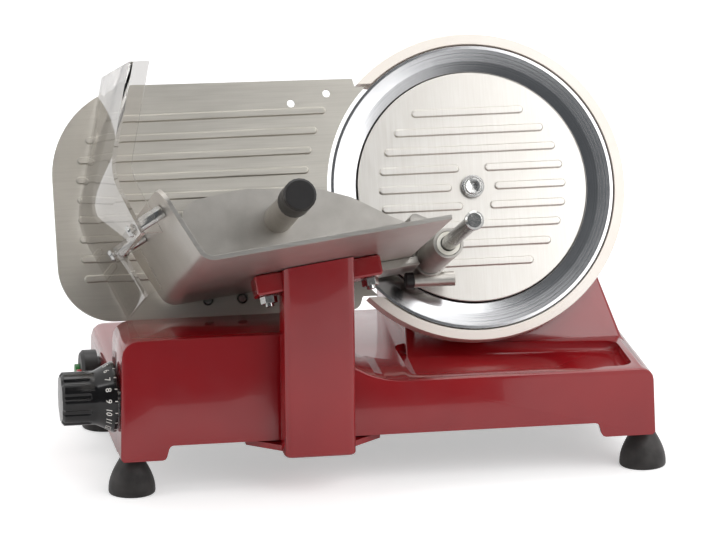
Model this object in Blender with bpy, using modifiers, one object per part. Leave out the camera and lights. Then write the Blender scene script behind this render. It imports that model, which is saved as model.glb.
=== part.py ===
"""An electric gravity-feed meat slicer, modelled as an assembly of separate pieces, in metres.

X runs to the right along the carriage's travel, Y away from the operator and Z up. The origin is under
the middle of the whole slicer, on the surface that its feet stand on. The blade, the gauge plate and the
tray lean back together, so they are drawn in a tilted frame: x to the right, y up the blade, z out of the
blade's front face towards the operator.
"""

from math import acos, atan2, cos, hypot, pi, radians, sin, sqrt, tan

import bmesh
import bpy
from mathutils import Matrix, Vector

# Clearances, and the small step that keeps joined shapes from sharing a plane
STEP = 0.0003
GAP = 0.0003
RUNNING = 0.0003

# The smallest facet that an outline's rounded corner is worth
CORNER_FACET = 0.0016

# The blade's place: X = 0 and Y = 0 are at its centre until the whole is moved over its own middle
TILT = radians(22.5)
BLADE_HEIGHT = 0.1772
BLADE_RADIUS = 0.0975
BLADE_BORE = 0.014
BLADE_BACK = 0.012
BLADE_DISH = 0.0092

# Blade cover
COVER_RADIUS = 0.079
COVER_THICKNESS = 0.0025
COVER_BOSS_RADIUS = 0.009
COVER_BACK_REACH = 0.0087
RIB_HEIGHT = 0.0012
COVER_RIB_PITCH = 0.013
COVER_RIB_WIDTH = 0.005
COVER_RIB_REACH = 0.065
COVER_RIB_COUNT = 9
COVER_MIDDLE_GAPS = {-1: (-0.007, 0.011), 0: (-0.014, 0.015), 1: (-0.008, 0.009)}
SCREW_HEAD_RADIUS = 0.0079
SCREW_SOCKET_RADIUS = 0.0031

# Ring guard
RING_INNER = 0.0987
RING_OUTER = 0.1055
RING_WALL = 0.003
RING_DEPTH = 0.016
RING_FRONT = 0.0008
RING_WEB_INNER = 0.086
RING_START = radians(-134.0)
RING_END = radians(135.6)
RING_LOW_END = -0.0725
RING_HIGH_END = 0.0742
RING_STUD_ANGLES = (-50.0, -90.0, -122.0)
RING_STUD_RADIUS = 0.0045

# Base casting
BASE_LEFT = -0.257
BASE_RIGHT = 0.1065
BASE_FRONT = -0.105
BASE_BACK = 0.088
BASE_FOOT_Z = 0.0255
FRONT_LIFT_Z = 0.0357
LEG_LEFT_INNER = -0.2265
LEG_RIGHT_INNER = 0.0700
RIM_Z = BLADE_HEIGHT - 0.1052
HOUSING_TOP_Z = BLADE_HEIGHT - 0.0687
HOUSING_BACK = -0.050
SWEEP_END_X = -0.062
SWEEP_RADIUS = 0.068
SWEEP_ANGLE = radians(50.0)
BASIN_DEPTH = 0.0065
WALL = 0.004
DRAFT = 0.03
CORNER = 0.011
EDGE_RADIUS = 0.008

# Motor tower, drawn in the tilted frame
TOWER_MIDDLE = (0.006, 0.005)
TOWER_RADIUS = 0.056
TOWER_LEAN = radians(17.7)
TOWER_FRONT = -0.022
TOWER_BACK_Y = 0.106
TOWER_EDGE = 0.006
HUB_OPENING = 0.030

# Bottom plate
BOTTOM_PLATE_Z = 0.0290
BOTTOM_PLATE_THICKNESS = 0.0012
BOTTOM_PLATE = ((-0.238, -0.040), (0.088, 0.0832))
BOTTOM_SCREWS = ((-0.226, 0.0795), (-0.226, 0.006), (0.080, -0.030), (0.080, 0.0795))
BOTTOM_POST_TOPS = (0.048, 0.069, 0.0625, 0.048)
BOTTOM_POST_RADIUS = 0.0045

# Feet
FOOT_X = (-0.2480, 0.1010)
FOOT_Y = (-0.088, 0.070)
FOOT_RADIUS = 0.0158
FOOT_TOP_RADIUS = 0.0072
STUD_RADIUS = 0.0025

# Blade drive
HUB_FLANGE = 0.026
HUB_NECK = 0.022
HUB_PULLEY = 0.040
PULLEY_WIDTH = 0.014
GROOVE_DEPTH = 0.0022
GROOVE_COUNT = 3
BEARING_OUTER = 0.013
BEARING_WIDTH = 0.008
AXLE_RADIUS = 0.006
MOTOR_AT = (0.038, -0.062)
MOTOR_RADIUS = 0.034
MOTOR_LENGTH = 0.058
MOTOR_SHAFT_RADIUS = 0.004
MOTOR_PULLEY = 0.009
BELT_THICKNESS = 0.0024
DRIVE_PLATE_FRONT = -0.050
DRIVE_PLATE_THICKNESS = 0.004
DRIVE_POSTS = ((-0.036, -0.046), (0.005, 0.0490), (0.040, 0.033), (0.074, -0.088))
POST_RADIUS = 0.0045

# Gauge plate
GAUGE_THICKNESS = 0.003
GAUGE_LEFT = -0.287
GAUGE_TOP = 0.0795
GAUGE_BOTTOM = -0.0800
GAUGE_ARC = 0.1001
GAUGE_TOP_CORNER = 0.062
GAUGE_BOTTOM_CORNER = 0.038
GAUGE_RIB_COUNT = 9
GAUGE_RIB_PITCH = 0.0135
GAUGE_RIB_TOP = 0.0573
GAUGE_RIB_WIDTH = 0.0055
GAUGE_RIB_INSET = 0.0155
GAUGE_RIB_ARC = 0.1130
GAUGE_HOLES = ((-0.1248, 0.0630), (-0.0999, 0.0689))
GAUGE_HOLE_RADIUS = 0.00275
GAUGE_SCREWS = ((-0.1864, -0.0688), (-0.1630, -0.0688))
GAUGE_SCREW_HOLE = 0.004
GAUGE_TRAVEL = 0.012

# Gauge support, slider and the rod they run on, in the tilted frame
SUPPORT_LEFT = -0.2035
SUPPORT_WIDTH = 0.048
SUPPORT_TOP = -0.062
SUPPORT_BOTTOM = -0.1193
SUPPORT_DEPTH = 0.0187
SLIDE_ROD_RADIUS = 0.006
SLIDE_ROD_Y = -0.1306
SLIDE_ROD_FRONT = 0.010
SLIDE_ROD_LENGTH = 0.0595
SLIDER_FRONT = 0.002
SLIDER_LENGTH = 0.030
SLIDER_HALF = 0.010

# Index knob, shaft and spiral cam. The axis runs along X
INDEX_Y = -0.0772
INDEX_Z = 0.064
INDEX_TURN = radians(330.0)
KNOB_GRIP_RADIUS = 0.018
KNOB_SKIRT_RADIUS = 0.02375
KNOB_LENGTH = 0.0365
KNOB_SKIRT_LENGTH = 0.0125
KNOB_FLUTES = 10
INDEX_SHAFT_RADIUS = 0.0035
BUSHING_RADIUS = 0.007
INDEX_BOSS_END = -0.2462
CAM_RADIUS = 0.0218
CAM_THICKNESS = 0.0075
CAM_RIGHT_X = -0.2375
CAM_START = 0.0068
GROOVE_FLOOR = 0.0045
FOLLOWER_RADIUS = 0.0015

# Switch
SWITCH_Y = 0.030
SWITCH_Z = 0.050
SWITCH_RADIUS = 0.0165
SWITCH_DEPTH = 0.0115
SWITCH_NECK = 0.0115
BUTTON_RADIUS = 0.0052
BUTTON_SPACING = 0.0138
BUTTON_PROUD = 0.003

# Cord gland
GLAND_X = 0.060
GLAND_Z = 0.047
GLAND_RADIUS = 0.0095
GLAND_NECK = 0.0062
GLAND_BORE = 0.0035

# Carriage: rod, flat guide bar, roller and arm
ROD_Y = -0.086
ROD_Z = 0.044
ROD_RADIUS = 0.007
ROD_LEFT = -0.2350
ROD_RIGHT = 0.0785
BAR_FRONT = -0.062
BAR_BACK = -0.054
BAR_BOTTOM = 0.040
BAR_TOP = 0.046
ARM_X = -0.1258
ARM_WIDTH = 0.048
ARM_FRONT = -0.130
ARM_DEPTH = 0.0217
ARM_BOTTOM = 0.030
ARM_WALL = 0.0045
FOOT_WIDTH = 0.091
WEB_THICKNESS = 0.0043
BARREL_RADIUS = 0.0115
BUSH_LENGTH = 0.016
BUSH_OUTER = 0.0092
ROLLER_RADIUS = 0.005
ROLLER_WIDTH = 0.006

# Tray, in the tilted frame
TRAY_BACK = 0.006
TRAY_DEPTH = 0.2227
TRAY_SHEET = 0.003
TRAY_RIGHT = -0.0545
TRAY_RIGHT_Y = -0.0497
TRAY_SLOPE = radians(7.11)
TRAY_FLOOR_LENGTH = 0.1610
TRAY_WALL_LENGTH = 0.054
TRAY_WALL_ANGLE = radians(119.5)
TRAY_BEND = 0.009
CROSS_BAR_LENGTH = 0.0855
CROSS_BAR_HEIGHT = 0.0135
CROSS_BAR_FRONT = 0.104
CROSS_BAR_DEPTH = 0.022
BOLT_SPACING = 0.069
BOLT_RADIUS = 0.003

# Pusher and its rod, in the tilted frame
PUSHER_ROD_AT = (-0.0370, -0.0520)
PUSHER_ROD_RADIUS = 0.0050
PUSHER_ROD_END = 0.213
ROD_HEAD_RADIUS = 0.0064
ROD_HEAD_LENGTH = 0.0050
LINER_OUTER = 0.0081
SLEEVE_RADIUS = 0.0102
SLEEVE_BACK = 0.031
SLEEVE_LENGTH = 0.074
PUSHER_BACK = 0.012
PUSHER_THICKNESS = 0.004
HANDLE_AT = (-0.1371, -0.0178)
HANDLE_RADIUS = 0.0100
HANDLE_LENGTH = 0.108
CAP_RADIUS = 0.0112
CAP_LENGTH = 0.030
LUG_BACK = 0.0075
LUG_LENGTH = 0.021
LUG_RADIUS = 0.0115
LUG_PLATE = 0.0055
CLAMP_DROP = 0.0127
CLAMP_RADIUS = 0.0050
CLAMP_ENDS = (-0.0110, 0.0170)

# Hand guard, in the tilted frame. Its top, knee and foot are measured from the tray's bend
GUARD_SHEET = 0.003
GUARD_TOP = (-0.0357, 0.1560)
GUARD_KNEE = (-0.0593, 0.0566)
GUARD_FOOT = (-0.0287, -0.0103)
GUARD_KNEE_RADIUS = 0.040
GUARD_FRONT = 0.2275
GUARD_FRONT_DROP = 0.027
GUARD_LIP = 0.013
GUARD_FOOT_FRONT = 0.118
GUARD_FOOT_TOP = -0.052
SPACER_DEPTHS = (0.086, 0.200)
SPACER_RADIUS = 0.0045
SPACER_DROP = 0.012
GUARD_SKEW = 0.0006

# The whole is moved so that its origin is under the middle of its own outline
LEFT_END = BASE_LEFT - 0.0006 - KNOB_LENGTH
RIGHT_END = FOOT_X[1] + FOOT_RADIUS
BACK_END = TOWER_BACK_Y

# Materials: colour, roughness, metallic
FINISHES = {
    "red_enamel": ((0.305, 0.008, 0.012), 0.12, 0.0),
    "satin_aluminium": ((0.62, 0.60, 0.57), 0.38, 1.0),
    "cast_aluminium": ((0.42, 0.41, 0.40), 0.50, 1.0),
    "polished_steel": ((0.56, 0.57, 0.60), 0.14, 1.0),
    "bright_steel": ((0.60, 0.60, 0.60), 0.25, 1.0),
    "cream_enamel": ((0.74, 0.70, 0.63), 0.35, 0.0),
    "black_gloss": ((0.012, 0.012, 0.012), 0.15, 0.0),
    "black_plastic": ((0.020, 0.019, 0.019), 0.45, 0.0),
    "rubber": ((0.035, 0.030, 0.028), 0.65, 0.0),
    "clear_plastic": ((0.85, 0.87, 0.86), 0.05, 0.0),
    "red_plastic": ((0.55, 0.010, 0.008), 0.30, 0.0),
    "green_plastic": ((0.030, 0.160, 0.040), 0.30, 0.0),
    "bronze": ((0.45, 0.28, 0.12), 0.35, 1.0),
    "nylon": ((0.72, 0.70, 0.64), 0.45, 0.0),
}

AXIS_TURN = {
    "X": Matrix.Rotation(pi / 2, 4, "Y"),
    "Y": Matrix.Rotation(-pi / 2, 4, "X"),
    "Z": Matrix.Identity(4),
    "-X": Matrix.Rotation(-pi / 2, 4, "Y"),
}


# Scene, materials and objects


def clear_scene():
    for obj in list(bpy.data.objects):
        bpy.data.objects.remove(obj, do_unlink=True)


def new_collection(name):
    collection = bpy.data.collections.new(name)
    bpy.context.scene.collection.children.link(collection)
    return collection


def make_materials():
    made = {}
    for name, (colour, roughness, metallic) in FINISHES.items():
        material = bpy.data.materials.new(name)
        material.use_nodes = True
        shader = material.node_tree.nodes["Principled BSDF"]
        shader.inputs["Base Color"].default_value = (*colour, 1.0)
        shader.inputs["Roughness"].default_value = roughness
        shader.inputs["Metallic"].default_value = metallic
        made[name] = material
    return made


clear_scene()
PARTS = new_collection("meat_slicer")
CUTTERS = new_collection("cutters")
MATERIALS = make_materials()


def make_frame(name, location=(0, 0, 0), rotation=(0, 0, 0), parent=None):
    frame = bpy.data.objects.new(name, None)
    frame.empty_display_size = 0.02
    frame.location = location
    frame.rotation_euler = rotation
    frame.parent = parent
    PARTS.objects.link(frame)
    return frame


def make_part(name, bm, material, parent, smooth=40.0):
    mesh = bpy.data.meshes.new(name)
    bm.to_mesh(mesh)
    bm.free()
    mesh.shade_smooth()
    mesh.set_sharp_from_angle(angle=radians(smooth))
    mesh.materials.append(MATERIALS[material])
    obj = bpy.data.objects.new(name, mesh)
    obj.parent = parent
    PARTS.objects.link(obj)
    return obj


def make_cutter(name, bm, parent):
    mesh = bpy.data.meshes.new(name)
    bm.to_mesh(mesh)
    bm.free()
    obj = bpy.data.objects.new(name, mesh)
    obj.parent = parent
    obj.hide_render = True
    obj.display_type = "WIRE"
    CUTTERS.objects.link(obj)
    return obj


def combine(obj, operation, other):
    modifier = obj.modifiers.new(f"{operation.lower()}_{other.name}", "BOOLEAN")
    modifier.operation = operation
    modifier.solver = "EXACT"
    modifier.object = other


def cut(obj, *cutters):
    for cutter in cutters:
        combine(obj, "DIFFERENCE", cutter)


def join(obj, *others):
    for other in others:
        combine(obj, "UNION", other)


def soften(obj, width, segments=2, angle=40.0):
    bevel = obj.modifiers.new("soft_edges", "BEVEL")
    bevel.width = width
    bevel.segments = segments
    bevel.limit_method = "ANGLE"
    bevel.angle_limit = radians(angle)
    bevel.miter_outer = "MITER_ARC"


# Basic shapes, each returned as a bmesh


def outward(bm):
    """Turns the faces of one closed shape outwards."""
    bmesh.ops.recalc_face_normals(bm, faces=bm.faces)
    if bm.calc_volume(signed=True) < 0:
        bmesh.ops.reverse_faces(bm, faces=bm.faces)
    bm.normal_update()
    return bm


def cylinder(radius, length, at=(0, 0, 0), axis="Z", segments=20, end_radius=None):
    """A cylinder, or a cone, that starts at the given point and runs along the axis."""
    bm = bmesh.new()
    end = radius if end_radius is None else end_radius
    bmesh.ops.create_cone(
        bm, cap_ends=True, segments=segments, radius1=radius, radius2=end, depth=length
    )
    bmesh.ops.translate(bm, verts=bm.verts, vec=(0, 0, length / 2))
    bm.transform(Matrix.Translation(at) @ AXIS_TURN[axis])
    return outward(bm)


def block(low, high):
    """A box between two corners."""
    low, high = Vector(low), Vector(high)
    bm = bmesh.new()
    bmesh.ops.create_cube(bm, size=1)
    bm.transform(Matrix.Translation((low + high) / 2) @ Matrix.Diagonal((*(high - low), 1)))
    return outward(bm)


def gathered(*shapes):
    """Several shapes in one bmesh, each still a body of its own."""
    bm = bmesh.new()
    for shape in shapes:
        mesh = bpy.data.meshes.new("gathered")
        shape.to_mesh(mesh)
        shape.free()
        bm.from_mesh(mesh)
        bpy.data.meshes.remove(mesh)
    return bm


def extruded(outline, low, high, axis="Z", holes=()):
    """A flat outline with its holes, extruded along an axis. On Y it is (x, z), on X it is (y, z)."""
    curve = bpy.data.curves.new("outline", "CURVE")
    curve.dimensions = "2D"
    curve.fill_mode = "BOTH"
    curve.extrude = (high - low) / 2
    for ring in (outline, *holes):
        spline = curve.splines.new("POLY")
        spline.points.add(len(ring) - 1)
        spline.use_cyclic_u = True
        for point, (x, y) in zip(spline.points, ring):
            point.co = (x, y, 0, 1)
    holder = bpy.data.objects.new("outline", curve)
    CUTTERS.objects.link(holder)
    bpy.context.view_layer.update()
    evaluated = holder.evaluated_get(bpy.context.evaluated_depsgraph_get())
    mesh = bpy.data.meshes.new_from_object(evaluated)
    bm = bmesh.new()
    bm.from_mesh(mesh)
    bmesh.ops.remove_doubles(bm, verts=bm.verts, dist=1e-6)
    bpy.data.objects.remove(holder)
    bpy.data.meshes.remove(mesh)
    bpy.data.curves.remove(curve)
    middle = (low + high) / 2
    if axis == "Y":
        bm.transform(Matrix(((1, 0, 0, 0), (0, 0, 1, middle), (0, 1, 0, 0), (0, 0, 0, 1))))
    elif axis == "X":
        bm.transform(Matrix(((0, 0, 1, middle), (1, 0, 0, 0), (0, 1, 0, 0), (0, 0, 0, 1))))
    else:
        bm.transform(Matrix.Translation((0, 0, middle)))
    return outward(bm)


def make_turned(name, profile, material, parent, at=(0, 0, 0), axis="Z", steps=20, closed=True):
    """A profile of (radius, height) turned about an axis. It runs down its outer side."""
    mesh = bpy.data.meshes.new(name)
    count = len(profile)
    edges = [(i, i + 1) for i in range(count - 1)]
    if closed:
        edges.append((count - 1, 0))
    mesh.from_pydata([(r, 0, h) for r, h in profile], edges, [])
    mesh.materials.append(MATERIALS[material])
    obj = bpy.data.objects.new(name, mesh)
    obj.parent = parent
    obj.matrix_basis = Matrix.Translation(at) @ AXIS_TURN[axis]
    PARTS.objects.link(obj)
    screw = obj.modifiers.new("turn", "SCREW")
    screw.steps = steps
    screw.render_steps = steps
    screw.use_merge_vertices = True
    screw.merge_threshold = 0.00001
    screw.use_smooth_shade = True
    return obj


def ring_profile(inner, outer, low, high):
    return [(outer, high), (outer, low), (inner, low), (inner, high)]


def arc(centre, radius, start, end, steps):
    """Points on an arc between two angles in radians."""
    turns = [start + (end - start) * i / steps for i in range(steps + 1)]
    return [(centre[0] + radius * cos(t), centre[1] + radius * sin(t)) for t in turns]


def rounded(corners, steps=4):
    """An outline whose corners are given as (x, y, radius)."""
    outline = []
    count = len(corners)
    for i, (x, y, radius) in enumerate(corners):
        here = Vector((x, y))
        if radius == 0:
            outline.append((x, y))
            continue
        before = (Vector(corners[i - 1][:2]) - here).normalized()
        after = (Vector(corners[(i + 1) % count][:2]) - here).normalized()
        half = acos(max(-1.0, min(1.0, before.dot(after)))) / 2
        centre = here + (before + after).normalized() * (radius / sin(half))
        first = here + before * (radius / tan(half)) - centre
        last = here + after * (radius / tan(half)) - centre
        start = atan2(first.y, first.x)
        sweep = (atan2(last.y, last.x) - start + pi) % (2 * pi) - pi
        facets = min(steps, max(1, round(radius / CORNER_FACET)))
        outline += arc(centre, radius, start, start + sweep, facets)
    return outline


def slot(x0, x1, y, width, steps=4):
    """A straight slot with round ends, along x."""
    r = width / 2
    return arc((x1 - r, y), r, -pi / 2, pi / 2, steps) + arc((x0 + r, y), r, pi / 2, 3 * pi / 2, steps)


def circle(x, y, radius, steps=16):
    return arc((x, y), radius, 0, 2 * pi * (steps - 1) / steps, steps - 1)


# Frames


def tray_bend():
    """Where the top of the tray's floor would meet the inside of its wall."""
    return (
        TRAY_RIGHT - TRAY_FLOOR_LENGTH * cos(TRAY_SLOPE),
        TRAY_RIGHT_Y - TRAY_FLOOR_LENGTH * sin(TRAY_SLOPE),
    )


def make_frames():
    tray_front = TRAY_BACK + TRAY_DEPTH
    front_end = (tray_bend()[1] - TRAY_SHEET) * sin(TILT) - tray_front * cos(TILT)
    shift = (-(LEFT_END + RIGHT_END) / 2, -(front_end + BACK_END) / 2, 0)
    lean = (pi / 2 - TILT, 0, 0)
    blade_centre = (0, 0, BLADE_HEIGHT)
    frames = {"base": make_frame("slicer_frame", shift)}
    frames["blade"] = make_frame("blade_frame", blade_centre, lean, frames["base"])
    frames["gauge"] = make_frame("gauge_frame", blade_centre, lean, frames["base"])
    frames["motor"] = make_frame("motor_frame", (*MOTOR_AT, 0), parent=frames["blade"])
    frames["index"] = make_frame("index_frame", (0, INDEX_Y, INDEX_Z), parent=frames["base"])
    frames["carriage"] = make_frame("carriage_frame", parent=frames["base"])
    frames["tray"] = make_frame("tray_frame", blade_centre, lean, frames["carriage"])
    frames["pusher"] = make_frame("pusher_frame", (*PUSHER_ROD_AT, 0), parent=frames["tray"])
    return frames


# Base casting


def drafted(bm):
    """Leans the sides of a base shape in by the casting's draft as they rise."""
    middle = Vector(((BASE_LEFT + BASE_RIGHT) / 2, (BASE_FRONT + BASE_BACK) / 2))
    half = Vector(((BASE_RIGHT - BASE_LEFT) / 2, (BASE_BACK - BASE_FRONT) / 2))
    for vert in bm.verts:
        rise = (vert.co.z - BASE_FOOT_Z) * DRAFT
        vert.co.x = middle.x + (vert.co.x - middle.x) * (1 - rise / half.x)
        vert.co.y = middle.y + (vert.co.y - middle.y) * (1 - rise / half.y)
    return bm


def sweep_curve(inset):
    """The front wall's top edge where it falls from the housing to the rim, in (x, z)."""
    hollow = (SWEEP_END_X, RIM_Z + SWEEP_RADIUS)
    turn = radians(270) - SWEEP_ANGLE
    crest_radius = (HOUSING_TOP_Z - RIM_Z) / (1 - cos(SWEEP_ANGLE)) - SWEEP_RADIUS
    reach = SWEEP_RADIUS + crest_radius
    crest = (hollow[0] + reach * cos(turn), hollow[1] + reach * sin(turn))
    upper = arc(crest, crest_radius - inset, radians(90), turn - pi, 7)
    lower = arc(hollow, SWEEP_RADIUS + inset, turn, radians(270), 8)
    return upper + lower


def front_outline():
    step = 0.0025
    curve = [(x, z, 0) for x, z in sweep_curve(0)]
    return rounded(
        [
            (BASE_LEFT, BASE_FOOT_Z + STEP, 0.002),
            (BASE_LEFT, HOUSING_TOP_Z, CORNER),
            *curve,
            (BASE_RIGHT, RIM_Z, EDGE_RADIUS),
            (BASE_RIGHT, BASE_FOOT_Z + STEP, 0.002),
            (LEG_RIGHT_INNER, BASE_FOOT_Z + STEP, 0.003),
            (LEG_RIGHT_INNER - step, FRONT_LIFT_Z, 0.003),
            (LEG_LEFT_INNER + step, FRONT_LIFT_Z, 0.003),
            (LEG_LEFT_INNER, BASE_FOOT_Z + STEP, 0.003),
        ]
    )


def rounded_rim(bm, y, low_z, radius, segments=3):
    """Rounds the edges of a front or back face at this y that lie above a height."""
    edges = [
        edge
        for edge in bm.edges
        if all(abs(v.co.y - y) < 1e-6 for v in edge.verts)
        and max(v.co.z for v in edge.verts) > low_z
        and len(edge.link_faces) == 2
        and abs(edge.link_faces[0].normal.dot(edge.link_faces[1].normal)) < 0.7
    ]
    bmesh.ops.bevel(
        bm, geom=edges, offset=radius, segments=segments, profile=0.5, affect="EDGES", clamp_overlap=True
    )
    return bm


def front_wall_shape():
    bm = extruded(front_outline(), BASE_FRONT, HOUSING_BACK, "Y")
    rounded_rim(bm, BASE_FRONT, FRONT_LIFT_Z + 0.003, EDGE_RADIUS)
    bm.normal_update()
    rounded_rim(bm, HOUSING_BACK, RIM_Z + 0.006, EDGE_RADIUS, 2)
    return drafted(bm)


def deck_shape():
    """The low body behind the front wall, with its upright corners and top edges rounded."""
    front = HOUSING_BACK - 0.030
    outline = rounded(
        [
            (BASE_LEFT + STEP, front, 0),
            (BASE_RIGHT - STEP, front, 0),
            (BASE_RIGHT - STEP, BASE_BACK, CORNER),
            (BASE_LEFT + STEP, BASE_BACK, CORNER),
        ]
    )
    bm = extruded(outline, BASE_FOOT_Z + 2 * STEP, RIM_Z)
    top = [
        edge
        for edge in bm.edges
        if all(abs(v.co.z - RIM_Z) < 1e-6 for v in edge.verts)
        and max(v.co.y for v in edge.verts) > front + 0.001
        and abs(edge.link_faces[0].normal.dot(edge.link_faces[1].normal)) < 0.7
    ]
    bmesh.ops.bevel(bm, geom=top, offset=EDGE_RADIUS, segments=3, profile=0.5, affect="EDGES")
    return drafted(bm)


def tower_outline(inset):
    radius = TOWER_RADIUS - inset
    centre_x = TOWER_MIDDLE[0]
    bottom = -0.135
    dome = arc(TOWER_MIDDLE, radius, pi, TOWER_LEAN, 14)
    edge_x, edge_y = dome[-1]
    right_foot = edge_x + tan(TOWER_LEAN) * (edge_y - bottom)
    return [(centre_x - radius, bottom), *dome, (right_foot, bottom)]


def tower_block(name, inset, back_y, low_z):
    """The motor tower, or its inside, trimmed by an upright back face."""
    depth = 0.150
    shape = extruded(tower_outline(inset), -depth, TOWER_FRONT - inset)
    prism = make_cutter(name, shape, FRAMES["blade"])
    room = block((-0.2, -0.08, low_z), (0.2, back_y, 0.330))
    trim = make_cutter(f"{name}_trim", room, FRAMES["base"])
    combine(prism, "INTERSECT", trim)
    return prism


def basin_shape():
    """The shallow trough between the front rim and the tower."""
    low = RIM_Z - BASIN_DEPTH
    outline = rounded(
        [
            (SWEEP_END_X + 0.004, BASE_FRONT + 0.011, 0.010),
            (BASE_RIGHT - 0.013, BASE_FRONT + 0.011, 0.010),
            (BASE_RIGHT - 0.013, -0.032, 0.010),
            (SWEEP_END_X + 0.004, -0.010, 0.010),
        ]
    )
    bm = extruded(outline, low, RIM_Z + 0.020)
    bm.normal_update()
    floor = [
        edge
        for edge in bm.edges
        if all(abs(v.co.z - low) < 1e-6 for v in edge.verts)
        and abs(edge.link_faces[0].normal.dot(edge.link_faces[1].normal)) < 0.7
    ]
    bmesh.ops.bevel(bm, geom=floor, offset=0.005, segments=3, profile=0.5, affect="EDGES")
    return bm


def housing_hollow():
    """The inside of the raised housing at the left front."""
    top = HOUSING_TOP_Z - WALL
    low = 0.060
    curve = [(x, z, 0) for x, z in sweep_curve(WALL) if z > RIM_Z - WALL + 0.0005]
    outline = rounded(
        [
            (BASE_LEFT + WALL + STEP, low, 0),
            (BASE_LEFT + WALL + STEP, top, CORNER - WALL),
            *curve,
            (SWEEP_END_X - 0.010, low, 0),
        ]
    )
    return drafted(extruded(outline, BASE_FRONT + WALL + STEP, HOUSING_BACK - WALL, "Y"))


def deck_hollows():
    """The inside of the base, open at the bottom, lower under the basin."""
    left, right = BASE_LEFT + WALL, BASE_RIGHT - WALL
    front, back = BASE_FRONT + WALL, BASE_BACK - WALL
    low = BASE_FOOT_Z - 0.010
    basin_top = RIM_Z - BASIN_DEPTH - WALL
    high = drafted(block((left, front, low), (SWEEP_END_X - 0.002, back, RIM_Z - WALL)))
    rear = drafted(
        block((SWEEP_END_X - 0.010, -0.004, low - STEP), (right, back - STEP, RIM_Z - WALL - STEP))
    )
    basin = drafted(
        block((SWEEP_END_X - 0.012, front + STEP, low - 2 * STEP), (right - STEP, 0.004, basin_top))
    )
    return [("hollow_left", high), ("hollow_rear", rear), ("hollow_basin", basin)]


def tilted(x, y, z):
    """A point of the tilted frame in the base frame."""
    return Vector((x, y * sin(TILT) - z * cos(TILT), BLADE_HEIGHT + y * cos(TILT) + z * sin(TILT)))


def foot_pads():
    """Solid corners that take the feet's studs, each set just inside the walls."""
    pads = []
    for x in FOOT_X:
        for y in FOOT_Y:
            outer_x = BASE_LEFT + 0.0027 if x < ARM_X else BASE_RIGHT - 0.0027
            outer_y = BASE_FRONT + 0.002 if y < 0 else BASE_BACK - 0.002
            inner_x = x + 0.008 if x < ARM_X else x - 0.008
            inner_y = y + 0.008 if y < 0 else y - 0.008
            low = (min(outer_x, inner_x), min(outer_y, inner_y), BASE_FOOT_Z)
            high = (max(outer_x, inner_x), max(outer_y, inner_y), BASE_FOOT_Z + 0.013)
            pads.append(block(low, high))
    return gathered(*pads)


def rod_lugs():
    """Webs inside the two front legs that hold the carriage rod and the flat bar."""
    shapes = []
    for near, far in ((ROD_LEFT - 0.0004, ROD_LEFT + 0.0078), (LEG_RIGHT_INNER + 0.0008, ROD_RIGHT + 0.0015)):
        shapes.append(
            block((near, BASE_FRONT + 0.002, BAR_BOTTOM - 0.006), (far, ROD_Y + 0.010, ROD_Z + 0.0102))
        )
        shapes.append(
            block(
                (near + STEP, ROD_Y + 0.0095, BAR_BOTTOM - 0.0055),
                (far - STEP, BAR_BACK + 0.004, BAR_TOP + 0.004),
            )
        )
    return shapes


def slide_rod_lugs():
    """Webs under the deck that hold the two ends of the gauge's slide rod, in the tilted frame."""
    left, right = SUPPORT_LEFT + SUPPORT_WIDTH / 2 - 0.0105, SUPPORT_LEFT + SUPPORT_WIDTH / 2 + 0.0105
    low = SLIDE_ROD_Y - 0.008
    end = SLIDE_ROD_FRONT - SLIDE_ROD_LENGTH
    return [
        block((left, low, SLIDE_ROD_FRONT - 0.0065), (right, -0.1190, SLIDE_ROD_FRONT + 0.0005)),
        block((left, low, end - 0.0005), (right, -0.0985, end + 0.0080)),
    ]


def bottom_posts():
    """Posts that the bottom plate is screwed to. The rear ones stand against the rear wall."""
    low = BOTTOM_PLATE_Z + GAP
    posts = []
    for (x, y), top in zip(BOTTOM_SCREWS, BOTTOM_POST_TOPS):
        posts.append(cylinder(BOTTOM_POST_RADIUS, top - low, (x, y, low), segments=10))
    return posts


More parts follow.
